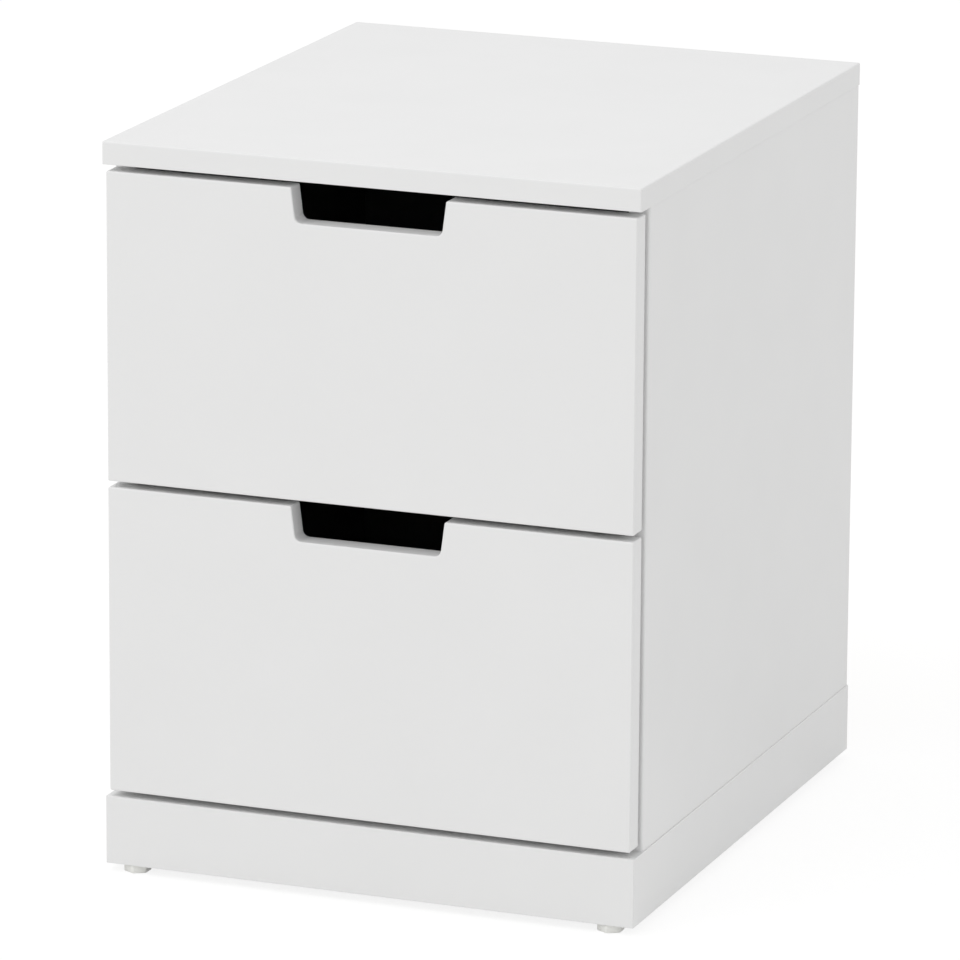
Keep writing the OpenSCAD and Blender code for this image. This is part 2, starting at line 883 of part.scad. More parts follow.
top_panel();
left_side_panel();
right_side_panel();
bottom_panel();
back_panel();
front_top_rail();
rear_top_rail();
plinth_front_board();
plinth_rear_board();
plinth_left_board();
plinth_right_board();
plinth_corner_blocks();
foot_sleeves();
carcass_dowels();
carcass_cam_bolts();
carcass_cam_locks();
carcass_screws();
back_panel_nails();
upper_left_cabinet_runner();
upper_right_cabinet_runner();
lower_left_cabinet_runner();
lower_right_cabinet_runner();
cabinet_runner_screws();
cabinet_roller_axles();
upper_left_cabinet_roller();
upper_right_cabinet_roller();
lower_left_cabinet_roller();
lower_right_cabinet_roller();
front_left_foot();
front_right_foot();
rear_left_foot();
rear_right_foot();
upper_drawer_front();
upper_drawer_left_side();
upper_drawer_right_side();
upper_drawer_back();
upper_drawer_bottom();
upper_drawer_left_runner();
upper_drawer_right_runner();
upper_drawer_runner_screws();
upper_drawer_roller_axles();
upper_left_drawer_roller();
upper_right_drawer_roller();
upper_drawer_cam_bolts();
upper_drawer_cam_locks();
upper_drawer_box_screws();
lower_drawer_front();
lower_drawer_left_side();
lower_drawer_right_side();
lower_drawer_back();
lower_drawer_bottom();
lower_drawer_left_runner();
lower_drawer_right_runner();
lower_drawer_runner_screws();
lower_drawer_roller_axles();
lower_left_drawer_roller();
lower_right_drawer_roller();
lower_drawer_cam_bolts();
lower_drawer_cam_locks();
lower_drawer_box_screws();
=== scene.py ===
"""Looks, studio and camera of a white chest with two drawers, around its packed construction.

Lengths are in millimetres until a mesh is made; the frame and every mesh are in metres.
"""

import json
import logging
import math
from abc import ABC, abstractmethod
from dataclasses import dataclass, replace
from enum import Enum

import bmesh
import bpy
import numpy as np
from mathutils import Matrix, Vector
from mathutils.geometry import tessellate_polygon


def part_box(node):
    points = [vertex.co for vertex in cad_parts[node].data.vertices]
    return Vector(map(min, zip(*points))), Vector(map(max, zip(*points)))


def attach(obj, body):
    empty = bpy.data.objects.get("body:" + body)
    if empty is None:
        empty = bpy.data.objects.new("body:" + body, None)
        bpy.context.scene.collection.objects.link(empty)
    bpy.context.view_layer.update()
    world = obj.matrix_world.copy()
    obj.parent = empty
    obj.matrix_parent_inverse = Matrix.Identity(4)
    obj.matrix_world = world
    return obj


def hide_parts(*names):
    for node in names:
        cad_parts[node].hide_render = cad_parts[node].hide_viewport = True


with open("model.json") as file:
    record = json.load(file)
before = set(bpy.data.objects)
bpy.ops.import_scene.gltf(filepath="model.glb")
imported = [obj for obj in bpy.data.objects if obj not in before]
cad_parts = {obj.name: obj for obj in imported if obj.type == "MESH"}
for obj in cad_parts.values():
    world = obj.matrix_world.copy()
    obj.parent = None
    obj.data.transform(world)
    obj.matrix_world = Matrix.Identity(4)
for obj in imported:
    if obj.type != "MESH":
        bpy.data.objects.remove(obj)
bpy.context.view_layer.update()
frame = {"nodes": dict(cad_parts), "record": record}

Pair = tuple[float, float]
Sockets = tuple[bpy.types.NodeSocket, bpy.types.NodeSocket]

LOG = logging.getLogger("chest")
MM = 0.001
# Steps in the arc of a rounded corner or of an eased edge
ROUND_STEPS = 5
# Points of a rounded corner: those of its arc, and a holding point on each side
CORNER_PLACES = ROUND_STEPS + 3
# Distance from such an arc to the points that hold the flat faces flat
HOLD = 0.4
# Points nearer than this become one
WELD = 0.0005
# Digits after the point at which two corners of a solid are the same
PLACE_DIGITS = 3
# Edges that bend more than this stay sharp in smooth shading
CREASE_DEGREES = 40.0
# Space round a round fitting in its pocket, and places round the pocket's edge
POCKET_PLAY = 0.1
POCKET_PLACES = 48
# Turn from one fitting to the next, so that no two slots line up
GOLDEN_TURN = math.pi * (3 - math.sqrt(5))
PLAIN_WHITE = "#FFFFFF"
LEVELS = ("upper", "lower")


class Slot(Enum):
    """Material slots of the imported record."""

    WHITE_FOIL = "white_foil_board"
    GREY_FOIL = "grey_foil_board"
    HARDBOARD = "hardboard"
    BEECH = "beech"
    PINE = "pine"
    COATED_STEEL = "white_coated_steel"
    ZINC = "zinc_plated_steel"
    NYLON = "white_nylon"


class Side(Enum):
    """Left and right halves of the chest, with the sign of X there."""

    LEFT = -1
    RIGHT = 1

    @property
    def word(self) -> str:
        """The side's name as node names spell it."""
        return self.name.lower()


class Plane(Enum):
    """Plane that an outline is drawn in: the axes of its width, its height and its thickness."""

    XY = (0, 1, 2)
    XZ = (0, 2, 1)
    YZ = (1, 2, 0)

    def laid(self, flat: np.ndarray, place: np.ndarray) -> np.ndarray:
        """Points of an outline, laid in this plane.

        Args:
            flat: Points of the outline, with two coordinates.
            place: Place along the thickness, for each point or for each row.

        Returns:
            The points, with X, Y and Z.
        """
        across, up, through = self.value
        laid = np.empty((*flat.shape[:-1], 3))
        laid[..., across] = flat[..., 0]
        laid[..., up] = flat[..., 1]
        laid[..., through] = place
        return laid


class Axis(Enum):
    """Direction that a turned piece points in."""

    RIGHT = (1, 0, 0)
    LEFT = (-1, 0, 0)
    FORWARD = (0, -1, 0)
    UP = (0, 0, 1)

    @property
    def basis(self) -> np.ndarray:
        """Axes of a piece that points in this direction.

        Returns:
            Rows that are the piece's own X, Y and Z, with Z along the direction.
        """
        along = np.array(self.value, float)
        across = np.roll(along, 1)
        return np.stack([across, np.cross(along, across), along])


@dataclass(frozen=True)
class Box:
    """Lowest and highest corner of something, in millimetres."""

    lo: np.ndarray
    hi: np.ndarray

    @classmethod
    def of(cls, node: str) -> "Box":
        """Box of a node of the construction."""
        lo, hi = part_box(node)
        return cls(np.array(lo) / MM, np.array(hi) / MM)

    @property
    def mid(self) -> np.ndarray:
        """Middle of the box."""
        return (self.lo + self.hi) / 2

    @property
    def size(self) -> np.ndarray:
        """Length of the box along X, Y and Z."""
        return self.hi - self.lo


def solids(node: str) -> list[Box]:
    """Boxes of the separate solids of a node.

    Corners that share a place are one corner, and every corner takes the smallest label that its edges
    lead to, until no label changes.

    Args:
        node: Name of the node.

    Returns:
        One box for each solid, in the order of their labels.
    """
    mesh = frame["nodes"][node].data
    places = np.empty(len(mesh.vertices) * 3)
    mesh.vertices.foreach_get("co", places)
    places = np.round(places.reshape(-1, 3) / MM, PLACE_DIGITS)
    corners, names = np.unique(places, axis=0, return_inverse=True)
    edges = np.empty(len(mesh.edges) * 2, np.int32)
    mesh.edges.foreach_get("vertices", edges)
    start, end = names.ravel()[edges.reshape(-1, 2)].T
    labels = np.arange(len(corners))
    while True:
        lower = labels.copy()
        np.minimum.at(lower, start, labels[end])
        np.minimum.at(lower, end, labels[start])
        lower = lower[lower]
        if np.array_equal(lower, labels):
            break
        labels = lower
    groups = [corners[labels == label] for label in np.unique(labels)]
    return [Box(group.min(axis=0), group.max(axis=0)) for group in groups]


@dataclass
class Shell:
    """Points and faces of one or more closed surfaces, in millimetres.

    Args:
        points: Places of the points.
        quads: Faces with four corners, as rows of point numbers.
        caps: Other faces, each as its point numbers.
    """

    points: np.ndarray
    quads: np.ndarray
    caps: list[np.ndarray]

    @classmethod
    def joined(cls, shells: list["Shell"]) -> "Shell":
        """All the shells as one: each shell's point numbers are counted on from those of the last.

        Args:
            shells: The shells.

        Returns:
            The joined shell.
        """
        starts = np.cumsum([0] + [len(shell.points) for shell in shells])
        points = np.concatenate([shell.points for shell in shells])
        quads = np.concatenate([shell.quads + start for shell, start in zip(shells, starts)])
        caps = [cap + start for shell, start in zip(shells, starts) for cap in shell.caps]
        return cls(points, quads, caps)

    @property
    def faces(self) -> list[list[int]]:
        """All the faces, as lists of point numbers."""
        return self.quads.tolist() + [cap.tolist() for cap in self.caps]

    def on_side(self, side: Side) -> "Shell":
        """The shell of a right-hand piece, mirrored if the piece is on the left."""
        return replace(self, points=self.points * [side.value, 1, 1])

    def aimed(self, axis: Axis, origin: np.ndarray, turn: float = 0.0) -> "Shell":
        """The shell turned about its own Z, with that Z laid along an axis, and moved.

        Args:
            axis: Direction for the shell's own Z.
            origin: Place for the shell's own origin.
            turn: Angle about its own Z, in radians.

        Returns:
            The placed shell.
        """
        c, s = math.cos(turn), math.sin(turn)
        spin = np.array([[c, s, 0], [-s, c, 0], [0, 0, 1]])
        return replace(self, points=self.points @ spin @ axis.basis + origin)


def lofted(rings: np.ndarray, closed: bool = False) -> Shell:
    """Surface through a stack of rings.

    Each point is joined to the next on its ring and to the same point of the next ring.

    Args:
        rings: Points as rows, places on a row, and X, Y and Z.
        closed: Whether the last ring leads back to the first; otherwise both ends are capped.

    Returns:
        The surface.
    """
    rows, places = rings.shape[:2]
    here = np.arange(rows * places).reshape(rows, places)
    beside = np.roll(here, -1, axis=1)
    quads = np.stack([here, beside, np.roll(beside, -1, axis=0), np.roll(here, -1, axis=0)], axis=-1)
    if closed:
        return Shell(rings.reshape(-1, 3), quads.reshape(-1, 4), [])
    return Shell(rings.reshape(-1, 3), quads[:-1].reshape(-1, 4), [here[0, ::-1], here[-1]])


def turned(radius: np.ndarray, height: np.ndarray, places: int, closed: bool = False) -> Shell:
    """Surface of revolution about Z: each row is a ring of that radius at that height.

    Args:
        radius: Radius of each row, or of each place on each row.
        height: Height of each row, or of each place on each row.
        places: Number of places round a ring.
        closed: Whether the last row leads back to the first.

    Returns:
        The surface.
    """
    angle = np.linspace(0, 2 * math.pi, places, endpoint=False)
    rows = len(radius)
    r = np.broadcast_to(radius.reshape(rows, -1), (rows, places))
    z = np.broadcast_to(height.reshape(rows, -1), (rows, places))
    return lofted(np.stack([r * np.cos(angle), r * np.sin(angle), z], axis=-1), closed)


@dataclass(frozen=True)
class Outline:
    """Closed outline with rounded corners, walked with its inside on the left.

    Args:
        corners: Sharp corners, as places and two coordinates, or as rows of them.
        radii: Radius at each corner.
        hold: Distance of the holding points from the arcs.
    """

    corners: np.ndarray
    radii: np.ndarray
    hold: float = HOLD

    @classmethod
    def rectangle(cls, lo: np.ndarray, hi: np.ndarray, radius: float) -> "Outline":
        """Rectangle between two corners, with one radius."""
        corners = np.array([[lo[0], lo[1]], [hi[0], lo[1]], [hi[0], hi[1]], [lo[0], hi[1]]])
        return cls(corners, np.full(4, radius))

    def inset(self, depth: np.ndarray) -> np.ndarray:
        """Rows of the outline, each moved inward by its own depth.

        A corner is an arc about the point that lies its radius from both edges. Moving inward shrinks a
        convex arc and widens a concave one; past zero, a convex arc's points slide in along the mitre. A
        holding point on each edge, just off the arc, keeps the flat faces flat in smooth shading.

        Args:
            depth: Inward distance of each row.

        Returns:
            Points as rows, places and two coordinates.
        """
        sharp = self.corners if self.corners.ndim == 3 else self.corners[None]
        t = depth[:, None, None]
        leave = np.roll(sharp, -1, axis=1) - sharp
        leave /= np.linalg.norm(leave, axis=-1, keepdims=True)
        arrive = np.roll(leave, 1, axis=1)
        out_a = np.stack([arrive[..., 1], -arrive[..., 0]], axis=-1)
        out_b = np.stack([leave[..., 1], -leave[..., 0]], axis=-1)
        dot = (out_a * out_b).sum(axis=-1, keepdims=True)
        cross = out_a[..., :1] * out_b[..., 1:] - out_a[..., 1:] * out_b[..., :1]
        bend = np.arctan2(cross, dot)
        sign = np.sign(bend)
        mitre = (out_a + out_b) / (1 + dot)
        radius = self.radii[None, :, None]
        seat = np.where(sign > 0, np.maximum(radius, t), radius)
        centre = sharp - sign * seat * mitre
        share = np.linspace(0, 1, ROUND_STEPS + 1)
        angle = np.arctan2(out_a[..., 1:], out_a[..., :1]) + bend * share
        spoke = np.stack([np.cos(angle), np.sin(angle)], axis=-1)
        arc = centre[:, :, None] + (sign * seat - t)[:, :, None] * spoke
        run = np.maximum(radius + self.hold, depth.max()) * np.tan(np.abs(bend) / 2)
        before = sharp - run * arrive - t * out_a
        after = sharp + run * leave - t * out_b
        shape = (len(depth), sharp.shape[1], 1, 2)
        parts = [np.broadcast_to(before[:, :, None], shape), arc, np.broadcast_to(after[:, :, None], shape)]
        return np.concatenate(parts, axis=2).reshape(len(depth), -1, 2)


def ease_rows(span: Pair, eases: Pair, hold: float) -> tuple[np.ndarray, np.ndarray]:
    """Insets and places of the rows that carry an outline through a board with eased edges.

    At angle t of a quarter round a row is inset by ease * (1 - sin t) and lies ease * (1 - cos t) from the
    face. A holding row lies on the face and another on the edge.

    Args:
        span: Places of the two faces.
        eases: Radius of the quarter round along each face.
        hold: Distance of the holding rows from the quarter rounds.

    Returns:
        The inset of each row and its place between the faces.
    """
    t = np.linspace(0, math.pi / 2, ROUND_STEPS + 1)
    insets = [np.concatenate([[ease + hold], ease * (1 - np.sin(t)), [0.0]]) for ease in eases]
    depths = [np.concatenate([[0.0], ease * (1 - np.cos(t)), [ease + hold]]) for ease in eases]
    places = np.concatenate([span[0] + depths[0], span[1] - depths[1][::-1]])
    return np.concatenate([insets[0], insets[1][::-1]]), places


def eased_board(outline: Outline, span: Pair, eases: Pair, plane: Plane) -> Shell:
    """Board of an outline's shape: the outline is carried from face to face along the eased rows.

    Args:
        outline: Shape of the board.
        span: Places of the two faces.
        eases: Radius of the quarter round along each face.
        plane: Plane that the outline is drawn in.

    Returns:
        The board.
    """
    inset, place = ease_rows(span, eases, outline.hold)
    return lofted(plane.laid(outline.inset(inset), place[:, None]))


@dataclass(frozen=True)
class Pocket:
    """Round hole into one face of a board.

    Args:
        centre: Middle of the hole on the face.
        radius: Radius of the hole.
        depth: Depth of the hole.
    """

    centre: np.ndarray
    radius: float
    depth: float

    @classmethod
    def round_solids(cls, node: str, board: Box, plane: Plane) -> list["Pocket"]:
        """Pockets for those solids of a node that lie in a board, a little wider and deeper than they are.

        Args:
            node: Node of the solids, which are round.
            board: Box of the board.
            plane: Plane of the board's faces.

        Returns:
            The pockets.
        """
        across, up, through = plane.value
        held = [box for box in solids(node) if np.all((box.mid > board.lo) & (box.mid < board.hi))]
        return [cls(
            centre=box.mid[[across, up]],
            radius=box.size[across] / 2 + POCKET_PLAY,
            depth=box.size[through] + 2 * POCKET_PLAY,
        ) for box in held]


def pierced_board(board: Shell, corners: int, plane: Plane, pockets: list[Pocket], far_face: bool) -> Shell:
    """Eased board with round pockets in one of its faces.

    The face is a polygon with a hole for each pocket, cut into triangles, and each hole's circle is carried
    in to the floor of its pocket.

    Args:
        board: The board, whose caps are its plain faces.
        corners: Number of corners of its outline.
        plane: Plane of its faces.
        pockets: The pockets.
        far_face: Whether they are in the last of its faces.

    Returns:
        The board with its pockets.
    """
    across, up, through = plane.value
    rim = np.arange(corners) * CORNER_PLACES
    if far_face:
        rim = rim + len(board.points) - corners * CORNER_PLACES
    level = board.points[rim[0], through]
    inward = -1 if far_face else 1
    angle = np.linspace(0, 2 * math.pi, POCKET_PLACES, endpoint=False)
    circle = np.stack([np.cos(angle), np.sin(angle)], axis=-1)
    near_cap, far_cap = board.caps
    shells = [replace(board, caps=[near_cap if far_face else far_cap])]
    loops = [board.points[rim][:, [across, up]]]
    names = [rim]
    start = len(board.points)
    for pocket in pockets:
        loop = pocket.centre + pocket.radius * circle
        ends = level + inward * np.array([[0.0], [pocket.depth]])
        wall = lofted(plane.laid(np.stack([loop, loop]), ends))
        shells.append(replace(wall, caps=wall.caps[1:]))
        loops.append(loop)
        names.append(start + np.arange(len(loop)))
        start += len(wall.points)
    triangles = tessellate_polygon([np.pad(loop, ((0, 0), (0, 1))).tolist() for loop in loops])
    whole = Shell.joined(shells)
    whole.caps += list(np.concatenate(names)[np.array(triangles)])
    return whole


def linear(code: str) -> tuple[float, ...]:
    """Linear colour of an sRGB hex value.

    The sRGB curve has a straight foot, and above it a power of 2.4.

    Args:
        code: The hex value.

    Returns:
        Red, green and blue, and full opacity.
    """
    srgb = np.array([int(code[i:i + 2], 16) for i in (1, 3, 5)]) / 255
    rgb = np.where(srgb <= 0.04045, srgb / 12.92, ((srgb + 0.055) / 1.055) ** 2.4)
    return (*rgb.tolist(), 1.0)


def add_node(tree: bpy.types.NodeTree, kind: str, settings: dict, sockets: dict) -> bpy.types.Node:
    """Adds a shader node.

    Args:
        tree: Tree that gets the node.
        kind: Type of the node.
        settings: Values of the node's properties, by name.
        sockets: Values of its inputs, by name or number; an output socket is linked.

    Returns:
        The node.
    """
    node = tree.nodes.new(kind)
    for name, value in settings.items():
        setattr(node, name, value)
    for key, value in sockets.items():
        if isinstance(value, bpy.types.NodeSocket):
            tree.links.new(value, node.inputs[key])
        else:
            node.inputs[key].default_value = value
    return node


def per_metre(size_mm: float) -> float:
    """Texture scale at which one feature of a noise is that many millimetres wide."""
    return 1 / (size_mm * MM)


def bands_per_metre(size_mm: float) -> float:
    """Texture scale for bands of that many millimetres; a wave's phase is 20 radians in each unit."""
    return math.pi / 10 / (size_mm * MM)


@dataclass(frozen=True)
class Finish:
    """Even finish with faint blotches and a fine relief; other finishes change its pattern.

    Args:
        title: Name of the material.
        slot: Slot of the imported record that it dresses.
        pale: Colour of the pale blotches.
        deep: Colour of the deep blotches.
        blotch_mm: Width of the blotches.
        gloss: Roughness of the pale and of the deep blotches.
        relief_mm: Width of the bumps.
        height_mm: Height of the bumps.
        metallic: One for bare metal.
    """

    title: str
    slot: Slot
    pale: str
    deep: str
    blotch_mm: float
    gloss: Pair
    relief_mm: float
    height_mm: float
    metallic: float = 0.0

    def pattern(self, tree: bpy.types.NodeTree, place: bpy.types.NodeSocket) -> Sockets:
        """Blotches and bumps from two sizes of noise.

        Args:
            tree: Tree of the material.
            place: Object coordinates.

        Returns:
            Sockets of the tone and of the relief.
        """
        tone = add_node(tree, "ShaderNodeTexNoise", {}, {
            "Vector": place, "Scale": per_metre(self.blotch_mm), "Detail": 3.0})
        relief = add_node(tree, "ShaderNodeTexNoise", {}, {
            "Vector": place, "Scale": per_metre(self.relief_mm), "Detail": 1.0})
        return tone.outputs["Fac"], relief.outputs["Fac"]

    def material(self) -> bpy.types.Material:
        """The finish as a material, made once.

        Returns:
            The material.
        """
        found = bpy.data.materials.get(self.title)
        if found:
            return found
        made = bpy.data.materials.new(self.title)
        made.use_nodes = True
        tree = made.node_tree
        tree.nodes.clear()
        place = add_node(tree, "ShaderNodeTexCoord", {}, {}).outputs["Object"]
        tone, relief = self.pattern(tree, place)
        colour = add_node(tree, "ShaderNodeMix", {"data_type": "RGBA"}, {
            0: tone, 6: linear(self.pale), 7: linear(self.deep)})
        rough = add_node(tree, "ShaderNodeMapRange", {}, {
            "Value": tone, "To Min": self.gloss[0], "To Max": self.gloss[1]})
        bump = add_node(tree, "ShaderNodeBump", {}, {
            "Strength": 1.0, "Distance": self.height_mm * MM, "Height": relief})
        shader = add_node(tree, "ShaderNodeBsdfPrincipled", {}, {
            "Base Color": colour.outputs[2], "Roughness": rough.outputs[0], "Metallic": self.metallic,
            "Normal": bump.outputs[0]})
        add_node(tree, "ShaderNodeOutputMaterial", {}, {"Surface": shader.outputs[0]})
        return made


@dataclass(frozen=True)
class PressedFibre(Finish):
    """Pressed board: short fibres that lie all ways, over the mark of the press's wire screen.

    The bumps are the screen's wires, drawn coarser than the real ones so that they show.

    Args:
        stretch: Length of a fibre over its width.
        first_turn: Angle of the first of the three directions of the fibres, in radians.
        tone_span: Sums of the three noises at which the tone is fully pale and fully deep.
    """

    stretch: float = 6.0
    first_turn: float = 0.3
    tone_span: Pair = (1.1, 1.9)

    def pattern(self, tree: bpy.types.NodeTree, place: bpy.types.NodeSocket) -> Sockets:
        """Sum of three noises drawn out along lines 60 degrees apart; relief of two crossing sine waves.

        Args:
            tree: Tree of the material.
            place: Object coordinates.

        Returns:
            Sockets of the tone and of the relief.
        """
        fibres = []
        for turn in self.first_turn + np.arange(3) * math.pi / 3:
            drawn = add_node(tree, "ShaderNodeMapping", {"vector_type": "TEXTURE"}, {
                "Vector": place, "Rotation": (0.0, float(turn), 0.0), "Scale": (self.stretch, 1.0, 1.0)})
            noise = add_node(tree, "ShaderNodeTexNoise", {}, {
                "Vector": drawn.outputs[0], "Scale": per_metre(self.blotch_mm), "Detail": 4.0})
            fibres.append(noise.outputs["Fac"])
        pair = add_node(tree, "ShaderNodeMath", {"operation": "ADD"}, {0: fibres[0], 1: fibres[1]})
        three = add_node(tree, "ShaderNodeMath", {"operation": "ADD"}, {0: pair.outputs[0], 1: fibres[2]})
        tone = add_node(tree, "ShaderNodeMapRange", {}, {
            "Value": three.outputs[0], "From Min": self.tone_span[0], "From Max": self.tone_span[1]})
        screen = {"Vector": place, "Scale": bands_per_metre(self.relief_mm)}
        waves = [add_node(tree, "ShaderNodeTexWave", {"bands_direction": direction}, screen).outputs["Fac"]
                 for direction in "XZ"]
        relief = add_node(tree, "ShaderNodeMath", {"operation": "MULTIPLY"}, {0: waves[0], 1: waves[1]})
        return tone.outputs[0], relief.outputs[0]


@dataclass(frozen=True)
class Timber(Finish):
    """Bare wood: growth rings drawn out along the grain.

    Args:
        stretch: Length of the figure along the grain over its width.
    """

    stretch: float = 12.0

    def pattern(self, tree: bpy.types.NodeTree, place: bpy.types.NodeSocket) -> Sockets:
        """Distorted sine bands and a noise, both drawn out along X.

        Args:
            tree: Tree of the material.
            place: Object coordinates.

        Returns:
            Sockets of the tone and of the relief.
        """
        drawn = add_node(tree, "ShaderNodeMapping", {}, {
            "Vector": place, "Scale": (1 / self.stretch, 1, 1)})
        bands = add_node(tree, "ShaderNodeTexWave", {"bands_direction": "Z"}, {
            "Vector": drawn.outputs[0], "Scale": bands_per_metre(self.blotch_mm),
            "Distortion": 3.0, "Detail": 2.0})
        pores = add_node(tree, "ShaderNodeTexNoise", {}, {
            "Vector": drawn.outputs[0], "Scale": per_metre(self.relief_mm), "Detail": 2.0})
        return bands.outputs["Fac"], pores.outputs["Fac"]


# Paper foil, printed white, lacquered and pressed on particleboard: even, with a low satin sheen
WHITE_FOIL = Finish(
    "White_foil", Slot.WHITE_FOIL, pale="#E9E9E9", deep="#E6E6E6", blotch_mm=70.0,
    gloss=(0.42, 0.48), relief_mm=1.8, height_mm=0.012)
# Paper foil, printed grey, left matt: dull, so that an inside with little light reads as nearly black
GREY_FOIL = Finish(
    "Grey_foil", Slot.GREY_FOIL, pale="#6C6D70", deep="#66676A", blotch_mm=40.0,
    gloss=(0.55, 0.65), relief_mm=1.6, height_mm=0.015)
# Wood fibre pressed wet on a wire screen: brown, flecked and dull
HARDBOARD = PressedFibre(
    "Pressed_hardboard", Slot.HARDBOARD, pale="#AC8E6C", deep="#90724F", blotch_mm=0.9,
    gloss=(0.7, 0.85), relief_mm=3.2, height_mm=0.05)
# Turned beech: pale pinkish brown with a close grain
BEECH = Timber(
    "Turned_beech", Slot.BEECH, pale="#D8B58A", deep="#CCA97E", blotch_mm=1.5,
    gloss=(0.55, 0.65), relief_mm=0.6, height_mm=0.03)
# Sawn pine: pale yellow with wide rings
PINE = Timber(
    "Sawn_pine", Slot.PINE, pale="#E2C495", deep="#D3AC74", blotch_mm=6.0,
    gloss=(0.6, 0.75), relief_mm=0.8, height_mm=0.03)
# Epoxy powder baked on sheet steel: white and glossier than the foil, with a faint orange peel
COATED_STEEL = Finish(
    "Epoxy_coated_steel", Slot.COATED_STEEL, pale="#E6E8E9", deep="#E2E4E5", blotch_mm=25.0,
    gloss=(0.3, 0.36), relief_mm=1.4, height_mm=0.02)
# Zinc plated from a bath and clear passivated: silvery, with a faint cloud
ZINC = Finish(
    "Zinc_plated_steel", Slot.ZINC, pale="#D2D4D8", deep="#B9BCC2", blotch_mm=2.5,
    gloss=(0.25, 0.38), relief_mm=0.5, height_mm=0.004, metallic=1.0)
# Moulded nylon: slightly warm white with a soft sheen
NYLON = Finish(
    "Moulded_nylon", Slot.NYLON, pale="#ECECE9", deep="#E8E8E4", blotch_mm=6.0,
    gloss=(0.4, 0.48), relief_mm=0.7, height_mm=0.008)

FINISHES = {finish.slot.value: finish for finish in (
    WHITE_FOIL, GREY_FOIL, HARDBOARD, BEECH, PINE, COATED_STEEL, ZINC, NYLON)}
SLOT_OF = {part["node"]: part["material_slot"] for part in frame["record"]["subparts"]}
BODY_OF = {node: body for body, nodes in frame["record"]["behaviour"]["bodies"].items() for node in nodes}


def finished_piece(node: str, shell: Shell) -> bpy.types.Object:
    """Makes the piece that stands for a node: meshed, dressed, and riding on the node's body.

    Args:
        node: Node that the piece replaces.
        shell: Surface of the piece.

    Returns:
        The piece.
    """
    mesh = bpy.data.meshes.new(f"{node}_finished")
    mesh.from_pydata((shell.points * MM).tolist(), [], shell.faces)
    work = bmesh.new()
    work.from_mesh(mesh)
    bmesh.ops.remove_doubles(work, verts=work.verts, dist=WELD * MM)
    bmesh.ops.recalc_face_normals(work, faces=work.faces)
    work.to_mesh(mesh)
    work.free()
    mesh.shade_smooth()
    mesh.set_sharp_from_angle(angle=math.radians(CREASE_DEGREES))
    mesh.materials.append(FINISHES[SLOT_OF[node]].material())
    piece = bpy.data.objects.new(mesh.name, mesh)
    bpy.context.scene.collection.objects.link(piece)
    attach(piece, BODY_OF[node])
    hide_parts(node)
    return piece


class SubAssembly(ABC):
    """Group of pieces that are built and dressed together."""

    @abstractmethod
    def build(self) -> dict[str, Shell]:
        """Surfaces of the group's pieces, by the node that each stands for."""

    def dress(self) -> list[bpy.types.Object]:
        """The group's pieces, built, dressed and riding on their bodies."""
        return [finished_piece(node, shell) for node, shell in self.build().items()]


@dataclass
class CarcassBoards(SubAssembly):
    """Top, side and bottom panels, and the rails under the top.

    Args:
        top_eases: Radius along the lower and the upper edges of the top.
        top_corner: Radius of the top's corners, seen from above.
        front_edge: Radius along the outer front edges of the side panels, which show beside the drawers.
        side_edge: Radius along their other upright edges.
        end_ease: Radius along their upper and lower ends, which close on the top and the plinth.
        groove_depth: Depth of the groove that holds the back.
        groove_play: Space on each side of the back in its groove.
        groove_radius: Radius in the bottom of the groove.
        inner_ease: Radius along the edges of the boards between the side panels.
    """

    top_eases: Pair = (0.4, 1.2)
    top_corner: float = 1.4
    front_edge: float = 1.8
    side_edge: float = 0.6
    end_ease: float = 0.15
    groove_depth: float = 6.0
    groove_play: float = 0.1
    groove_radius: float = 0.3
    inner_ease: float = 0.5

    def top(self) -> Shell:
        """Top panel: a rounded rectangle carried through its thickness.

        Returns:
            The panel.
        """
        box = Box.of("top_panel")
        outline = Outline.rectangle(box.lo[:2], box.hi[:2], self.top_corner)
        return eased_board(outline, (box.lo[2], box.hi[2]), self.top_eases, Plane.XY)

    def side_panel(self, side: Side) -> Shell:
        """Side panel: its section, with the groove for the back, carried up its height.

        Args:
            side: Side of the chest.

        Returns:
            The panel.
        """
        box = Box.of(f"{side.word}_side_panel")
        back = Box.of("back_panel")
        inner, outer = np.sort(np.abs([box.lo[0], box.hi[0]]))
        front, rear = box.lo[1], box.hi[1]
        g0, g1 = back.lo[1] - self.groove_play, back.hi[1] + self.groove_play
        floor = inner + self.groove_depth
        corners = np.array([
            [inner, front], [outer, front], [outer, rear], [inner, rear],
            [inner, g1], [floor, g1], [floor, g0], [inner, g0],
        ])
        radii = np.where(corners[:, 0] == floor, self.groove_radius, self.side_edge)
        radii[1] = self.front_edge
        outline = Outline(corners, radii)
        shell = eased_board(outline, (box.lo[2], box.hi[2]), (self.end_ease, self.end_ease), Plane.XY)
        return shell.on_side(side)

    def cross_board(self, node: str) -> Shell:
        """Board between the side panels: a rectangle with cam pockets in its underside.

        Args:
            node: Node of the board.

        Returns:
            The board.
        """
        box = Box.of(node)
        ease = self.inner_ease
        outline = Outline.rectangle(box.lo[:2], box.hi[:2], ease)
        board = eased_board(outline, (box.lo[2], box.hi[2]), (ease, ease), Plane.XY)
        pockets = Pocket.round_solids("carcass_cam_locks", box, Plane.XY)
        return pierced_board(board, len(outline.corners), Plane.XY, pockets, far_face=False)

    def build(self) -> dict[str, Shell]:
        """Surfaces of the carcass boards.

        Returns:
            The surfaces, by node.
        """
        panels = {f"{side.word}_side_panel": self.side_panel(side) for side in Side}
        between = ("bottom_panel", "front_top_rail", "rear_top_rail")
        boards = {node: self.cross_board(node) for node in between}
        return {"top_panel": self.top(), **panels, **boards}


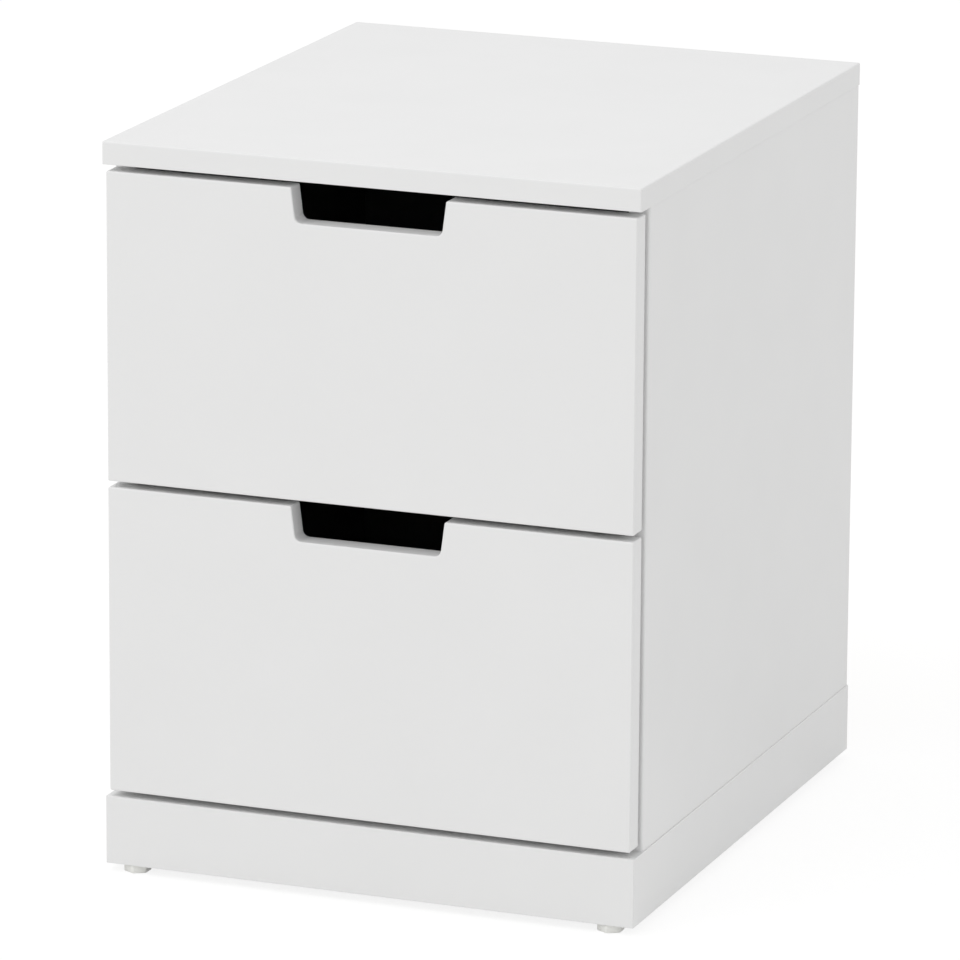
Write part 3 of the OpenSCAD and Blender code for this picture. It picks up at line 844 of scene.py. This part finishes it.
@dataclass
class Plinth(SubAssembly):
    """Four mitred boards under the carcass, and the blocks in their corners.

    Args:
        ease: Radius along the upper and lower edges of the boards.
        tip: Radius on the points of the mitres, where the foil runs on round the corner.
        block_ease: Radius along the edges of the blocks.
    """

    ease: float = 0.3
    tip: float = 0.12
    block_ease: float = 0.6

    def board(self, node: str, along: int) -> Shell:
        """Board with mitred ends: a trapezium carried up its height, with pockets for the sleeves.

        Args:
            node: Node of the board.
            along: Axis that the board runs along, 0 for X and 1 for Y.

        Returns:
            The board.
        """
        box = Box.of(node)
        across = 1 - along
        thick = box.size[across]
        ends = np.array([box.lo[along], box.hi[along]])
        outer, inner = sorted([box.lo[across], box.hi[across]], key=abs, reverse=True)
        long_face = np.stack([ends, np.full(2, outer)], axis=-1)
        short_face = np.stack([(ends + [thick, -thick])[::-1], np.full(2, inner)], axis=-1)
        corners = np.concatenate([long_face, short_face])
        if (along == 0) == (outer > 0):
            corners = corners[::-1]
        if along == 1:
            corners = corners[:, ::-1]
        outline = Outline(corners, np.full(4, self.tip))
        board = eased_board(outline, (box.lo[2], box.hi[2]), (self.ease, self.ease), Plane.XY)
        pockets = Pocket.round_solids("foot_sleeves", box, Plane.XY) if along == 0 else []
        return pierced_board(board, len(corners), Plane.XY, pockets, far_face=False)

    def blocks(self) -> Shell:
        """Corner blocks: right-angled triangles carried up their height.

        Returns:
            The blocks.
        """
        made = []
        for box in solids("plinth_corner_blocks"):
            square = np.where(box.mid > 0, box.hi, box.lo)[:2]
            far = np.where(box.mid > 0, box.lo, box.hi)[:2]
            corners = np.array([square, [square[0], far[1]], [far[0], square[1]]])
            if box.mid[0] * box.mid[1] < 0:
                corners = corners[::-1]
            outline = Outline(corners[::-1], np.full(3, self.block_ease))
            made.append(eased_board(outline, (box.lo[2], box.hi[2]), (self.block_ease,) * 2, Plane.XY))
        return Shell.joined(made)

    def build(self) -> dict[str, Shell]:
        """Surfaces of the four boards and of the blocks.

        Returns:
            The surfaces, by node.
        """
        runs = {"front": 0, "rear": 0, "left": 1, "right": 1}
        nodes = {f"plinth_{word}_board": along for word, along in runs.items()}
        boards = {node: self.board(node, along) for node, along in nodes.items()}
        return {**boards, "plinth_corner_blocks": self.blocks()}


@dataclass
class LevellingFeet(SubAssembly):
    """Hexagonal pads on threaded stems.

    Args:
        pad_height: Height of the pads.
        pad_chamfer: Chamfer along the edges of the pads.
        chamfer_mid: Inset of the chamfer's middle row, as a share of the chamfer; a half is flat.
        pad_places: Places round a pad.
        roundness: Power that rounds the corners of the hexagon; higher is sharper.
        stem_radius: Radius over the thread.
        pitch: Rise of the thread in one turn.
        thread_depth: Depth of the thread.
        lead: Length of the plain tip of the stem.
        stem_places: Places round a stem.
        rows_per_turn: Rows of points in one turn of the thread.
    """

    pad_height: float = 5.8
    pad_chamfer: float = 0.7
    chamfer_mid: float = 0.3
    pad_places: int = 96
    roundness: float = 22.0
    stem_radius: float = 3.0
    pitch: float = 1.5
    thread_depth: float = 0.45
    lead: float = 1.5
    stem_places: int = 24
    rows_per_turn: int = 8

    def pad(self, corner_radius: float) -> Shell:
        """Pad: a hexagon with rounded corners and chamfered edges.

        At each angle the radius is the apothem over a power norm of the cosines of the angles to the three
        pairs of flats.

        Args:
            corner_radius: Radius to a corner of the hexagon.

        Returns:
            The pad, standing on Z = 0 with a corner along its own Y.
        """
        angle = np.linspace(0, 2 * math.pi, self.pad_places, endpoint=False)
        flats = np.radians([0, 60, 120])[:, None]
        apothem = corner_radius * math.cos(math.pi / 6)
        power = self.roundness
        hexagon = apothem / (np.abs(np.cos(angle - flats)) ** power).sum(axis=0) ** (1 / power)
        full, part, h = self.pad_chamfer, self.chamfer_mid * self.pad_chamfer, self.pad_height
        step = np.array([corner_radius, full, part, 0, 0, part, full, corner_radius])
        height = np.array([0, 0, part, full, h - full, h - part, h, h])
        radius = np.maximum(hexagon[None] - step[:, None], 0)
        return turned(radius, height, self.pad_places)

    def stem(self, length: float) -> Shell:
        """Stem: the radius falls by the thread's depth and back once in each pitch along a helix.

        Args:
            length: Length of the stem.

        Returns:
            The stem, standing on Z = 0.
        """
        height = np.linspace(0, length, int(length / self.pitch * self.rows_per_turn))
        turn = np.linspace(0, 1, self.stem_places, endpoint=False)
        phase = (height[:, None] / self.pitch - turn) % 1
        valley = 1 - np.abs(2 * phase - 1)
        plain = np.clip((length - height) / self.lead, 0, 1)[:, None]
        radius = self.stem_radius - self.thread_depth * (1 - plain + plain * valley)
        radius[[0, -1]] = 0
        return turned(radius, height, self.stem_places)

    def build(self) -> dict[str, Shell]:
        """Surfaces of the four feet.

        Returns:
            The surfaces, by node.
        """
        made = {}
        for end in ("front", "rear"):
            for side in Side:
                node = f"{end}_{side.word}_foot"
                box = Box.of(node)
                spot = np.array([*box.mid[:2], box.lo[2]])
                pad = self.pad(box.size[1] / 2).aimed(Axis.UP, spot)
                overlap = self.pad_height / 2
                stem = self.stem(box.size[2] - overlap).aimed(Axis.UP, spot + [0, 0, overlap])
                made[node] = Shell.joined([pad, stem])
        return made


@dataclass
class DrawerBoards(SubAssembly):
    """Fronts with a finger notch in the top edge, and the sides and backs of the drawer boxes.

    Args:
        eases: Radius along the front and the rear edges of a front.
        corner: Radius of a front's corners.
        box_ease: Radius along the edges of the sides and backs, where the foil is folded round.
        notch_width: Width of the notch at the top edge.
        notch_depth: Depth of the notch.
        notch_lean: How far each end of the notch leans inward on its way down.
        notch_radius: Radius of the notch's lower corners.
    """

    eases: Pair = (1.1, 0.8)
    corner: float = 1.3
    box_ease: float = 0.7
    notch_width: float = 115.0
    notch_depth: float = 25.0
    notch_lean: float = 3.2
    notch_radius: float = 5.0

    def front(self, node: str) -> Shell:
        """Front: a rectangle with a trapezium cut from its top edge, carried through the thickness.

        Args:
            node: Node of the front.

        Returns:
            The front.
        """
        box = Box.of(node)
        left, low = box.lo[0], box.lo[2]
        right, high = box.hi[0], box.hi[2]
        half = self.notch_width / 2
        floor_half = half - self.notch_lean
        floor = high - self.notch_depth
        corners = np.array([
            [left, low], [right, low], [right, high], [half, high],
            [floor_half, floor], [-floor_half, floor], [-half, high], [left, high],
        ])
        radii = np.where(corners[:, 1] == floor, self.notch_radius, self.corner)
        return eased_board(Outline(corners, radii), (box.lo[1], box.hi[1]), self.eases, Plane.XZ)

    def box_board(self, node: str, plane: Plane) -> Shell:
        """Side or back of a drawer box: a rectangle carried through its thickness; a side has cam pockets.

        Args:
            node: Node of the board.
            plane: Plane of its faces.

        Returns:
            The board.
        """
        box = Box.of(node)
        across, up, through = plane.value
        outline = Outline.rectangle(box.lo[[across, up]], box.hi[[across, up]], self.box_ease)
        eases = (self.box_ease, self.box_ease)
        board = eased_board(outline, (box.lo[through], box.hi[through]), eases, plane)
        if plane is not Plane.YZ:
            return board
        pockets = Pocket.round_solids(node.rsplit("_", 2)[0] + "_cam_locks", box, plane)
        return pierced_board(board, len(outline.corners), plane, pockets, far_face=box.mid[0] > 0)

    def build(self) -> dict[str, Shell]:
        """Surfaces of the fronts, sides and backs of both drawers.

        Returns:
            The surfaces, by node.
        """
        made = {}
        for level in LEVELS:
            made[f"{level}_drawer_front"] = self.front(f"{level}_drawer_front")
            for word, plane in (("left_side", Plane.YZ), ("right_side", Plane.YZ), ("back", Plane.XZ)):
                node = f"{level}_drawer_{word}"
                made[node] = self.box_board(node, plane)
        return made


@dataclass
class Runners(SubAssembly):
    """Bent steel runners on the side panels and under the drawer sides.

    Args:
        steel: Thickness of the sheet.
        outer_bend: Radius outside a bend.
        inner_bend: Radius inside a bend.
        tip: Radius on the edges of the sheet.
        end_ease: Radius along the cut ends.
        hold: Distance of the holding points, small beside the sheet's thickness.
        lip: Width of the upper flange ahead of the mouth.
        mouth: Distance from the front end to the start of the upper flange.
        ramp: Length over which the upper flange widens.
        ramp_rows: Rows of points along that length.
    """

    steel: float = 1.2
    outer_bend: float = 1.5
    inner_bend: float = 0.4
    tip: float = 0.35
    end_ease: float = 0.2
    hold: float = 0.12
    lip: float = 2.0
    mouth: float = 25.0
    ramp: float = 12.0
    ramp_rows: int = 9

    def cabinet_runner(self, node: str, side: Side) -> Shell:
        """Channel: its section is carried along the depth, and the upper flange widens past the mouth.

        It widens by three times the square of the share of the ramp, less twice the cube.

        Args:
            node: Node of the runner.
            side: Side of the chest.

        Returns:
            The runner.
        """
        box = Box.of(node)
        wall, reach = 0.0, box.size[0]
        low, high, t = box.lo[2], box.hi[2], self.steel
        inset, place = ease_rows((box.lo[1], box.hi[1]), (self.end_ease, self.end_ease), self.hold)
        half = len(place) // 2
        ramp = box.lo[1] + self.mouth + np.linspace(0, self.ramp, self.ramp_rows)
        place = np.concatenate([place[:half], ramp, place[half:]])
        inset = np.concatenate([inset[:half], np.zeros(len(ramp)), inset[half:]])
        share = np.clip((place - ramp[0]) / self.ramp, 0, 1)
        width = self.lip + (reach - self.lip) * share * share * (3 - 2 * share)
        corners = np.empty((len(place), 8, 2))
        corners[:] = [
            [wall, low], [reach, low], [reach, low + t], [t, low + t],
            [t, high - t], [reach, high - t], [reach, high], [wall, high],
        ]
        corners[:, 5:7, 0] = width[:, None]
        o, i, e = self.outer_bend, self.inner_bend, self.tip
        flat = Outline(corners, np.array([o, e, e, i, i, e, e, o]), self.hold).inset(inset)
        across = np.abs([box.lo[0], box.hi[0]]).max() - flat[..., 0]
        along = np.broadcast_to(place[:, None], across.shape)
        return lofted(np.stack([side.value * across, along, flat[..., 1]], axis=-1))

    def drawer_runner(self, node: str, side: Side, drawer_side: str) -> Shell:
        """Runner under a drawer side: flange, web and track in one bent section, carried along the depth.

        Args:
            node: Node of the runner.
            side: Side of the chest.
            drawer_side: Node of the drawer side that it holds.

        Returns:
            The runner.
        """
        box = Box.of(node)
        near, far = np.sort(np.abs([box.lo[0], box.hi[0]]))
        wood = Box.of(drawer_side)
        web = np.abs([wood.lo[0], wood.hi[0]]).max()
        low, high, t = box.lo[2], box.hi[2], self.steel
        corners = np.array([
            [near, low], [web + t, low], [web + t, high - t], [far, high - t],
            [far, high], [web, high], [web, low + t], [near, low + t],
        ])
        o, i, e = self.outer_bend, self.inner_bend, self.tip
        radii = np.array([e, o, i, e, e, o, e, e])
        eases = (self.end_ease, self.end_ease)
        outline = Outline(corners, radii, self.hold)
        shell = eased_board(outline, (box.lo[1], box.hi[1]), eases, Plane.XZ)
        return shell.on_side(side)

    def build(self) -> dict[str, Shell]:
        """Surfaces of the eight runners.

        Returns:
            The surfaces, by node.
        """
        made = {}
        for level in LEVELS:
            for side in Side:
                node = f"{level}_{side.word}_cabinet_runner"
                made[node] = self.cabinet_runner(node, side)
                node = f"{level}_drawer_{side.word}_runner"
                made[node] = self.drawer_runner(node, side, f"{level}_drawer_{side.word}_side")
        return made


@dataclass
class Rollers(SubAssembly):
    """Moulded rollers with a hub, a web and a rim.

    Args:
        bore: Radius of the bore.
        hub: Width of the hub's wall.
        rim: Width of the rim's wall.
        recess: Depth of the hollow between hub and rim on each face.
        edge: Radius on the edges of the tread.
        fine_edge: Radius on the other edges.
        places: Places round a roller.
    """

    bore: float = 2.58
    hub: float = 1.3
    rim: float = 1.6
    recess: float = 0.8
    edge: float = 0.6
    fine_edge: float = 0.2
    places: int = 64

    def roller(self, radius: float, width: float) -> Shell:
        """Roller: its closed section, as radius and height, is carried round the axle.

        Args:
            radius: Radius of the tread.
            width: Width of the tread.

        Returns:
            The roller, along its own Z from zero.
        """
        hub, rim = self.bore + self.hub, radius - self.rim
        low, high = self.recess, width - self.recess
        corners = np.array([
            [self.bore, 0], [hub, 0], [hub, low], [rim, low], [rim, 0], [radius, 0],
            [radius, width], [rim, width], [rim, high], [hub, high], [hub, width], [self.bore, width],
        ])
        radii = np.where(corners[:, 0] == radius, self.edge, self.fine_edge)
        section = Outline(corners, radii).inset(np.zeros(1))[0]
        return turned(section[:, 0], section[:, 1], self.places, closed=True)

    def build(self) -> dict[str, Shell]:
        """Surfaces of the eight rollers.

        Returns:
            The surfaces, by node.
        """
        made = {}
        for level in LEVELS:
            for side in Side:
                for kind in ("cabinet", "drawer"):
                    node = f"{level}_{side.word}_{kind}_roller"
                    box = Box.of(node)
                    spot = np.array([box.lo[0], *box.mid[1:]])
                    made[node] = self.roller(box.size[2] / 2, box.size[0]).aimed(Axis.RIGHT, spot)
        return made


def recess(radius: np.ndarray, angle: np.ndarray, half: float, reach: float) -> np.ndarray:
    """Share of a recess's full depth at a place of a head: one inside an arm, falling to zero at its sides.

    An arm is where the distance from its line is under its half width and the distance along it is under
    its reach. The fall takes half of the half width.

    Args:
        radius: Distance from the head's middle.
        angle: Angle of the place from the arm.
        half: Half the width of the arm.
        reach: Length of the arm from the middle.

    Returns:
        The share of the depth.
    """
    off = np.abs(radius * np.sin(angle))
    along = np.abs(radius * np.cos(angle))
    soft = half / 2
    return np.clip((half + soft - off) / soft, 0, 1) * np.clip((reach + soft - along) / soft, 0, 1)


@dataclass
class Screws(SubAssembly):
    """Pan-head screws of the carcass, the runners and the drawer boxes.

    Args:
        shank: Radius of the shanks.
        head: Height of the heads.
        low_head: Height of the heads on the drawer runners, where rollers pass.
        dome: Share of a head's height that is its dome.
        dome_power: Power of the dome's curve; higher is flatter in the middle.
        dome_rows: Rows of points on a dome.
        rim: Chamfer under the edge of a head.
        arm: Half the width of the arms of the cross recess.
        arm_reach: Length of an arm as a share of the head's radius.
        arm_depth: Depth of the recess as a share of the head's height.
        point: Length of the point.
        places: Places round a screw.
    """

    shank: float = 1.75
    head: float = 1.7
    low_head: float = 1.6
    dome: float = 0.5
    dome_power: float = 2.4
    dome_rows: int = 21
    rim: float = 0.15
    arm: float = 0.42
    arm_reach: float = 0.55
    arm_depth: float = 0.5
    point: float = 3.0
    places: int = 72

    def screw(self, head_radius: float, head: float, length: float) -> Shell:
        """Screw: a dome with a cross recess, a rim, a shank and a point, turned about Z.

        The dome falls from the middle by a power of the distance from it.

        Args:
            head_radius: Radius of the head.
            head: Height of the head.
            length: Length under the head.

        Returns:
            The screw, with its head under Z = 0 and its shank above it.
        """
        angle = np.linspace(0, 2 * math.pi, self.places, endpoint=False)
        share = np.linspace(0, 1, self.dome_rows)
        dome_r = head_radius * share
        dome_z = -head * (1 - self.dome * share ** self.dome_power)
        reach = self.arm_reach * head_radius
        arms = np.maximum(recess(dome_r[:, None], angle, self.arm, reach),
                          recess(dome_r[:, None], angle + math.pi / 2, self.arm, reach))
        dome = dome_z[:, None] + arms * head * self.arm_depth
        body_r = np.array([head_radius, head_radius - self.rim, self.shank, self.shank, 0])
        body_z = np.array([-self.rim, 0, 0, length - self.point, length])
        radius = np.concatenate([dome_r, body_r])
        height = np.concatenate([dome, np.repeat(body_z[:, None], self.places, axis=1)])
        return turned(radius, height, self.places)

    def group(self, node: str) -> Shell:
        """Screws of a node: each lies along the longest side of its solid, head away from the wood.

        Args:
            node: Node of the screws.

        Returns:
            The screws.
        """
        head = self.low_head if "drawer_runner" in node else self.head
        made = []
        for count, box in enumerate(solids(node)):
            if np.argmax(box.size) == 2:
                axis, head_radius = Axis.UP, box.size[0] / 2
            else:
                outward = (box.mid[0] > 0) == ("cabinet" in node)
                axis, head_radius = Axis.RIGHT if outward else Axis.LEFT, box.size[2] / 2
            length = box.size.max() - head
            along = np.array(axis.value)
            start = box.mid - along * box.size.max() / 2 + along * head
            made.append(self.screw(head_radius, head, length).aimed(axis, start, count * GOLDEN_TURN))
        return Shell.joined(made)

    def build(self) -> dict[str, Shell]:
        """Surfaces of all the screws.

        Returns:
            The surfaces, by node.
        """
        nodes = ["carcass_screws", "cabinet_runner_screws"]
        nodes += [f"{level}_drawer_{kind}_screws" for level in LEVELS for kind in ("runner", "box")]
        return {node: self.group(node) for node in nodes}


@dataclass
class CamLocks(SubAssembly):
    """Cam locks in the boards of the carcass and in the drawer sides.

    Args:
        slot: Half the width of the slot and of the short arm that crosses it.
        slot_reach: Length of the slot from the middle, as a share of the radius.
        slot_depth: Depth of the slot.
        cross_reach: Length of the short arm from the middle, as a share of the radius.
        cross_depth: Depth of the short arm.
        ring_at: Place of the groove round the face, as a share of the radius.
        ring_width: Width of the groove, as a share of the radius.
        ring_depth: Depth of the groove.
        chamfer: Chamfer round the face, as a share of the radius.
        face_rows: Rows of points on the face.
        places: Places round a cam lock.
    """

    slot: float = 0.8
    slot_reach: float = 0.62
    slot_depth: float = 1.6
    cross_reach: float = 0.34
    cross_depth: float = 2.2
    ring_at: float = 0.82
    ring_width: float = 0.04
    ring_depth: float = 0.3
    chamfer: float = 0.05
    face_rows: int = 40
    places: int = 96

    def cam(self, radius: float, depth: float) -> Shell:
        """Cam lock: a disc with a slot and a groove in its face and a chamfered rim, turned about Z.

        The groove's depth falls off on both sides of its middle as a bell curve.

        Args:
            radius: Radius of the cam.
            depth: Height of the cam.

        Returns:
            The cam, with its face on Z = 0 and its barrel above it.
        """
        angle = np.linspace(0, 2 * math.pi, self.places, endpoint=False)
        face_r = radius * np.linspace(0, 1 - self.chamfer, self.face_rows)
        ring = self.ring_depth * np.exp(-((face_r / radius - self.ring_at) / self.ring_width) ** 2)
        slot = recess(face_r[:, None], angle, self.slot, self.slot_reach * radius)
        cross = recess(face_r[:, None], angle + math.pi / 2, self.slot, self.cross_reach * radius)
        face = np.maximum(slot * self.slot_depth, cross * self.cross_depth) + ring[:, None]
        body_r = np.array([radius, radius, 0])
        body_z = np.array([self.chamfer * radius, depth, depth])
        height = np.concatenate([face, np.repeat(body_z[:, None], self.places, axis=1)])
        return turned(np.concatenate([face_r, body_r]), height, self.places)

    def group(self, node: str) -> Shell:
        """Cam locks of a node: faces down in the carcass, and outward in the drawer sides.

        Args:
            node: Node of the cam locks.

        Returns:
            The cam locks.
        """
        made = []
        for count, box in enumerate(solids(node)):
            if "drawer" in node:
                axis = Axis.LEFT if box.mid[0] > 0 else Axis.RIGHT
                depth, radius = box.size[0], box.size[2] / 2
            else:
                axis, depth, radius = Axis.UP, box.size[2], box.size[0] / 2
            start = box.mid - np.array(axis.value) * depth / 2
            made.append(self.cam(radius, depth).aimed(axis, start, count * GOLDEN_TURN))
        return Shell.joined(made)

    def build(self) -> dict[str, Shell]:
        """Surfaces of all the cam locks.

        Returns:
            The surfaces, by node.
        """
        nodes = ["carcass_cam_locks"] + [f"{level}_drawer_cam_locks" for level in LEVELS]
        return {node: self.group(node) for node in nodes}


@dataclass
class Nails(SubAssembly):
    """Nails that hold the back.

    Args:
        head: Height of the heads.
        dome: Share of a head's height that is its dome.
        dome_rows: Rows of points on a dome.
        rim: Chamfer under the edge of a head.
        shank: Radius of the shanks.
        places: Places round a nail.
    """

    head: float = 0.8
    dome: float = 0.6
    dome_rows: int = 7
    rim: float = 0.1
    shank: float = 0.9
    places: int = 24

    def nail(self, head_radius: float, length: float) -> Shell:
        """Nail: a dome that falls by the square of the distance, a shank and a point, turned about Z.

        Args:
            head_radius: Radius of the head.
            length: Length under the head.

        Returns:
            The nail, with its head under Z = 0 and its shank above it.
        """
        share = np.linspace(0, 1, self.dome_rows)
        dome_z = -self.head * (1 - self.dome * share ** 2)
        radius = np.concatenate([head_radius * share, [head_radius - self.rim, self.shank, self.shank, 0]])
        height = np.concatenate([dome_z, [0, 0, length - 2 * self.shank, length]])
        return turned(radius, height, self.places)

    def build(self) -> dict[str, Shell]:
        """Surfaces of the nails, each with its head at the back.

        Returns:
            The surfaces, by node.
        """
        made = []
        for box in solids("back_panel_nails"):
            start = np.array([box.mid[0], box.hi[1] - self.head, box.mid[2]])
            nail = self.nail(box.size[0] / 2, box.size[1] - self.head)
            made.append(nail.aimed(Axis.FORWARD, start))
        return {"back_panel_nails": Shell.joined(made)}


@dataclass
class Studio:
    """Floor, even light and the camera of the photograph.

    Args:
        eye: Place of the camera.
        yaw: Turn of the camera to the left, in degrees.
        pitch: Tilt of the camera downward, in degrees.
        roll: Turn of the camera about its line of sight, in degrees.
        lens: Focal length on the sensor.
        sensor: Width of the sensor.
        sight: Distance past which the camera sees nothing.
        sky: Level of the even light from all round.
        key_level: Light that the lamp adds to a face turned towards it.
        key_from: Direction of the lamp from the chest.
        key_far: Distance of the lamp.
        key_size: Side of the lamp.
        floor_half: Half the side of the floor.
        floor_white: Share of plain white in the floor that the camera sees; the rest takes shadows.
        floor_level: Level of that white, so that the floor in the open is white in all.
        floor_paint: Colour of the floor that takes the shadows.
    """

    eye: tuple[float, float, float] = (1842.67, -4794.15, 1593.22)
    yaw: float = 21.0956
    pitch: float = 14.6396
    roll: float = -0.3764
    lens: float = 274.63
    sensor: float = 36.0
    sight: float = 100000.0
    sky: float = 0.818
    key_level: float = 0.205
    key_from: tuple[float, float, float] = (-0.32, -0.44, 0.84)
    key_far: float = 5000.0
    key_size: float = 2600.0
    floor_half: float = 6000.0
    floor_white: float = 0.8
    floor_level: float = 1.06
    floor_paint: str = "#F7F7F6"

    def camera(self) -> None:
        """Camera that looks along yaw and pitch, turned by roll about its line of sight."""
        yaw, pitch, roll = np.radians([self.yaw, self.pitch, self.roll])
        level = math.cos(pitch)
        ahead = np.array([-math.sin(yaw) * level, math.cos(yaw) * level, -math.sin(pitch)])
        right = np.array([math.cos(yaw), math.sin(yaw), 0.0])
        down = np.cross(ahead, right)
        turned_right = math.cos(roll) * right + math.sin(roll) * down
        turned_down = math.cos(roll) * down - math.sin(roll) * right
        data = bpy.data.cameras.new("Photo_camera")
        data.lens = self.lens
        data.sensor_width = self.sensor
        data.clip_end = self.sight * MM
        camera = bpy.data.objects.new("Photo_camera", data)
        axes = np.stack([turned_right, -turned_down, -ahead, np.array(self.eye) * MM], axis=1)
        camera.matrix_world = Matrix(axes.tolist() + [[0, 0, 0, 1]])
        bpy.context.scene.collection.objects.link(camera)
        bpy.context.scene.camera = camera

    def seen_rays(self, tree: bpy.types.NodeTree) -> bpy.types.NodeSocket:
        """Socket that is one for camera, glossy and transmission rays.

        Args:
            tree: Tree that gets the nodes.

        Returns:
            The socket.
        """
        path = add_node(tree, "ShaderNodeLightPath", {}, {})
        rays = [path.outputs[f"Is {kind} Ray"] for kind in ("Camera", "Glossy", "Transmission")]
        larger = {"operation": "MAXIMUM"}
        both = add_node(tree, "ShaderNodeMath", larger, {0: rays[0], 1: rays[1]})
        return add_node(tree, "ShaderNodeMath", larger, {0: both.outputs[0], 1: rays[2]}).outputs[0]

    def world(self) -> None:
        """World that is plain white to the eye and gives the even light."""
        world = bpy.data.worlds.new("Studio_world")
        world.use_nodes = True
        tree = world.node_tree
        tree.nodes.clear()
        colour = linear(PLAIN_WHITE)
        light = add_node(tree, "ShaderNodeBackground", {}, {"Color": colour, "Strength": self.sky})
        white = add_node(tree, "ShaderNodeBackground", {}, {"Color": colour, "Strength": 1.0})
        mixed = add_node(tree, "ShaderNodeMixShader", {}, {
            0: self.seen_rays(tree), 1: light.outputs[0], 2: white.outputs[0]})
        add_node(tree, "ShaderNodeOutputWorld", {}, {"Surface": mixed.outputs[0]})
        bpy.context.scene.world = world

    def floor(self) -> None:
        """White floor that keeps a faint shadow, and that a view from below looks through."""
        material = bpy.data.materials.new("Studio_floor")
        material.use_nodes = True
        tree = material.node_tree
        tree.nodes.clear()
        paint = add_node(tree, "ShaderNodeBsdfDiffuse", {}, {"Color": linear(self.floor_paint)})
        white = add_node(tree, "ShaderNodeEmission", {}, {
            "Color": linear(PLAIN_WHITE), "Strength": self.floor_level})
        share = add_node(tree, "ShaderNodeMath", {"operation": "MULTIPLY"}, {
            0: self.seen_rays(tree), 1: self.floor_white})
        above = add_node(tree, "ShaderNodeMixShader", {}, {
            0: share.outputs[0], 1: paint.outputs[0], 2: white.outputs[0]})
        clear = add_node(tree, "ShaderNodeBsdfTransparent", {}, {})
        under = add_node(tree, "ShaderNodeNewGeometry", {}, {}).outputs["Backfacing"]
        both = add_node(tree, "ShaderNodeMixShader", {}, {
            0: under, 1: above.outputs[0], 2: clear.outputs[0]})
        add_node(tree, "ShaderNodeOutputMaterial", {}, {"Surface": both.outputs[0]})
        h = self.floor_half * MM
        mesh = bpy.data.meshes.new("Studio_floor")
        mesh.from_pydata([(-h, -h, 0), (h, -h, 0), (h, h, 0), (-h, h, 0)], [], [(0, 1, 2, 3)])
        mesh.materials.append(material)
        floor = bpy.data.objects.new("Studio_floor", mesh)
        bpy.context.scene.collection.objects.link(floor)

    def key(self) -> None:
        """Large soft lamp, whose level on a face is its power over the square of pi times its distance."""
        data = bpy.data.lights.new("Soft_key", "AREA")
        data.size = self.key_size * MM
        far = self.key_far * MM
        data.energy = self.key_level * (math.pi * far) ** 2
        lamp = bpy.data.objects.new("Soft_key", data)
        out = np.array(self.key_from) / np.linalg.norm(self.key_from)
        side = np.cross([0, 0, 1], out)
        side /= np.linalg.norm(side)
        axes = np.stack([side, np.cross(out, side), out, out * far], axis=1)
        lamp.matrix_world = Matrix(axes.tolist() + [[0, 0, 0, 1]])
        bpy.context.scene.collection.objects.link(lamp)

    def build(self) -> None:
        """Camera, world, floor and lamp, under the plain view transform."""
        bpy.context.scene.view_settings.view_transform = "Standard"
        self.camera()
        self.world()
        self.floor()
        self.key()


def dress_kept_nodes() -> None:
    """Gives every node that still shows the finish of its slot."""
    for node, obj in frame["nodes"].items():
        if obj.hide_render:
            continue
        obj.data.materials.clear()
        obj.data.materials.append(FINISHES[SLOT_OF[node]].material())
        LOG.info("%s stays as built, in %s", node, SLOT_OF[node])


def main() -> None:
    """Builds the studio, then builds and dresses the chest and reports its pieces."""
    logging.basicConfig(level=logging.INFO, format="%(message)s")
    Studio().build()
    assemblies = (
        CarcassBoards(), Plinth(), LevellingFeet(), DrawerBoards(), Runners(), Rollers(),
        Screws(), CamLocks(), Nails(),
    )
    for assembly in assemblies:
        for piece in assembly.dress():
            LOG.info("%s: %d faces", piece.name, len(piece.data.polygons))
    dress_kept_nodes()


if __name__ == "__main__":
    main()
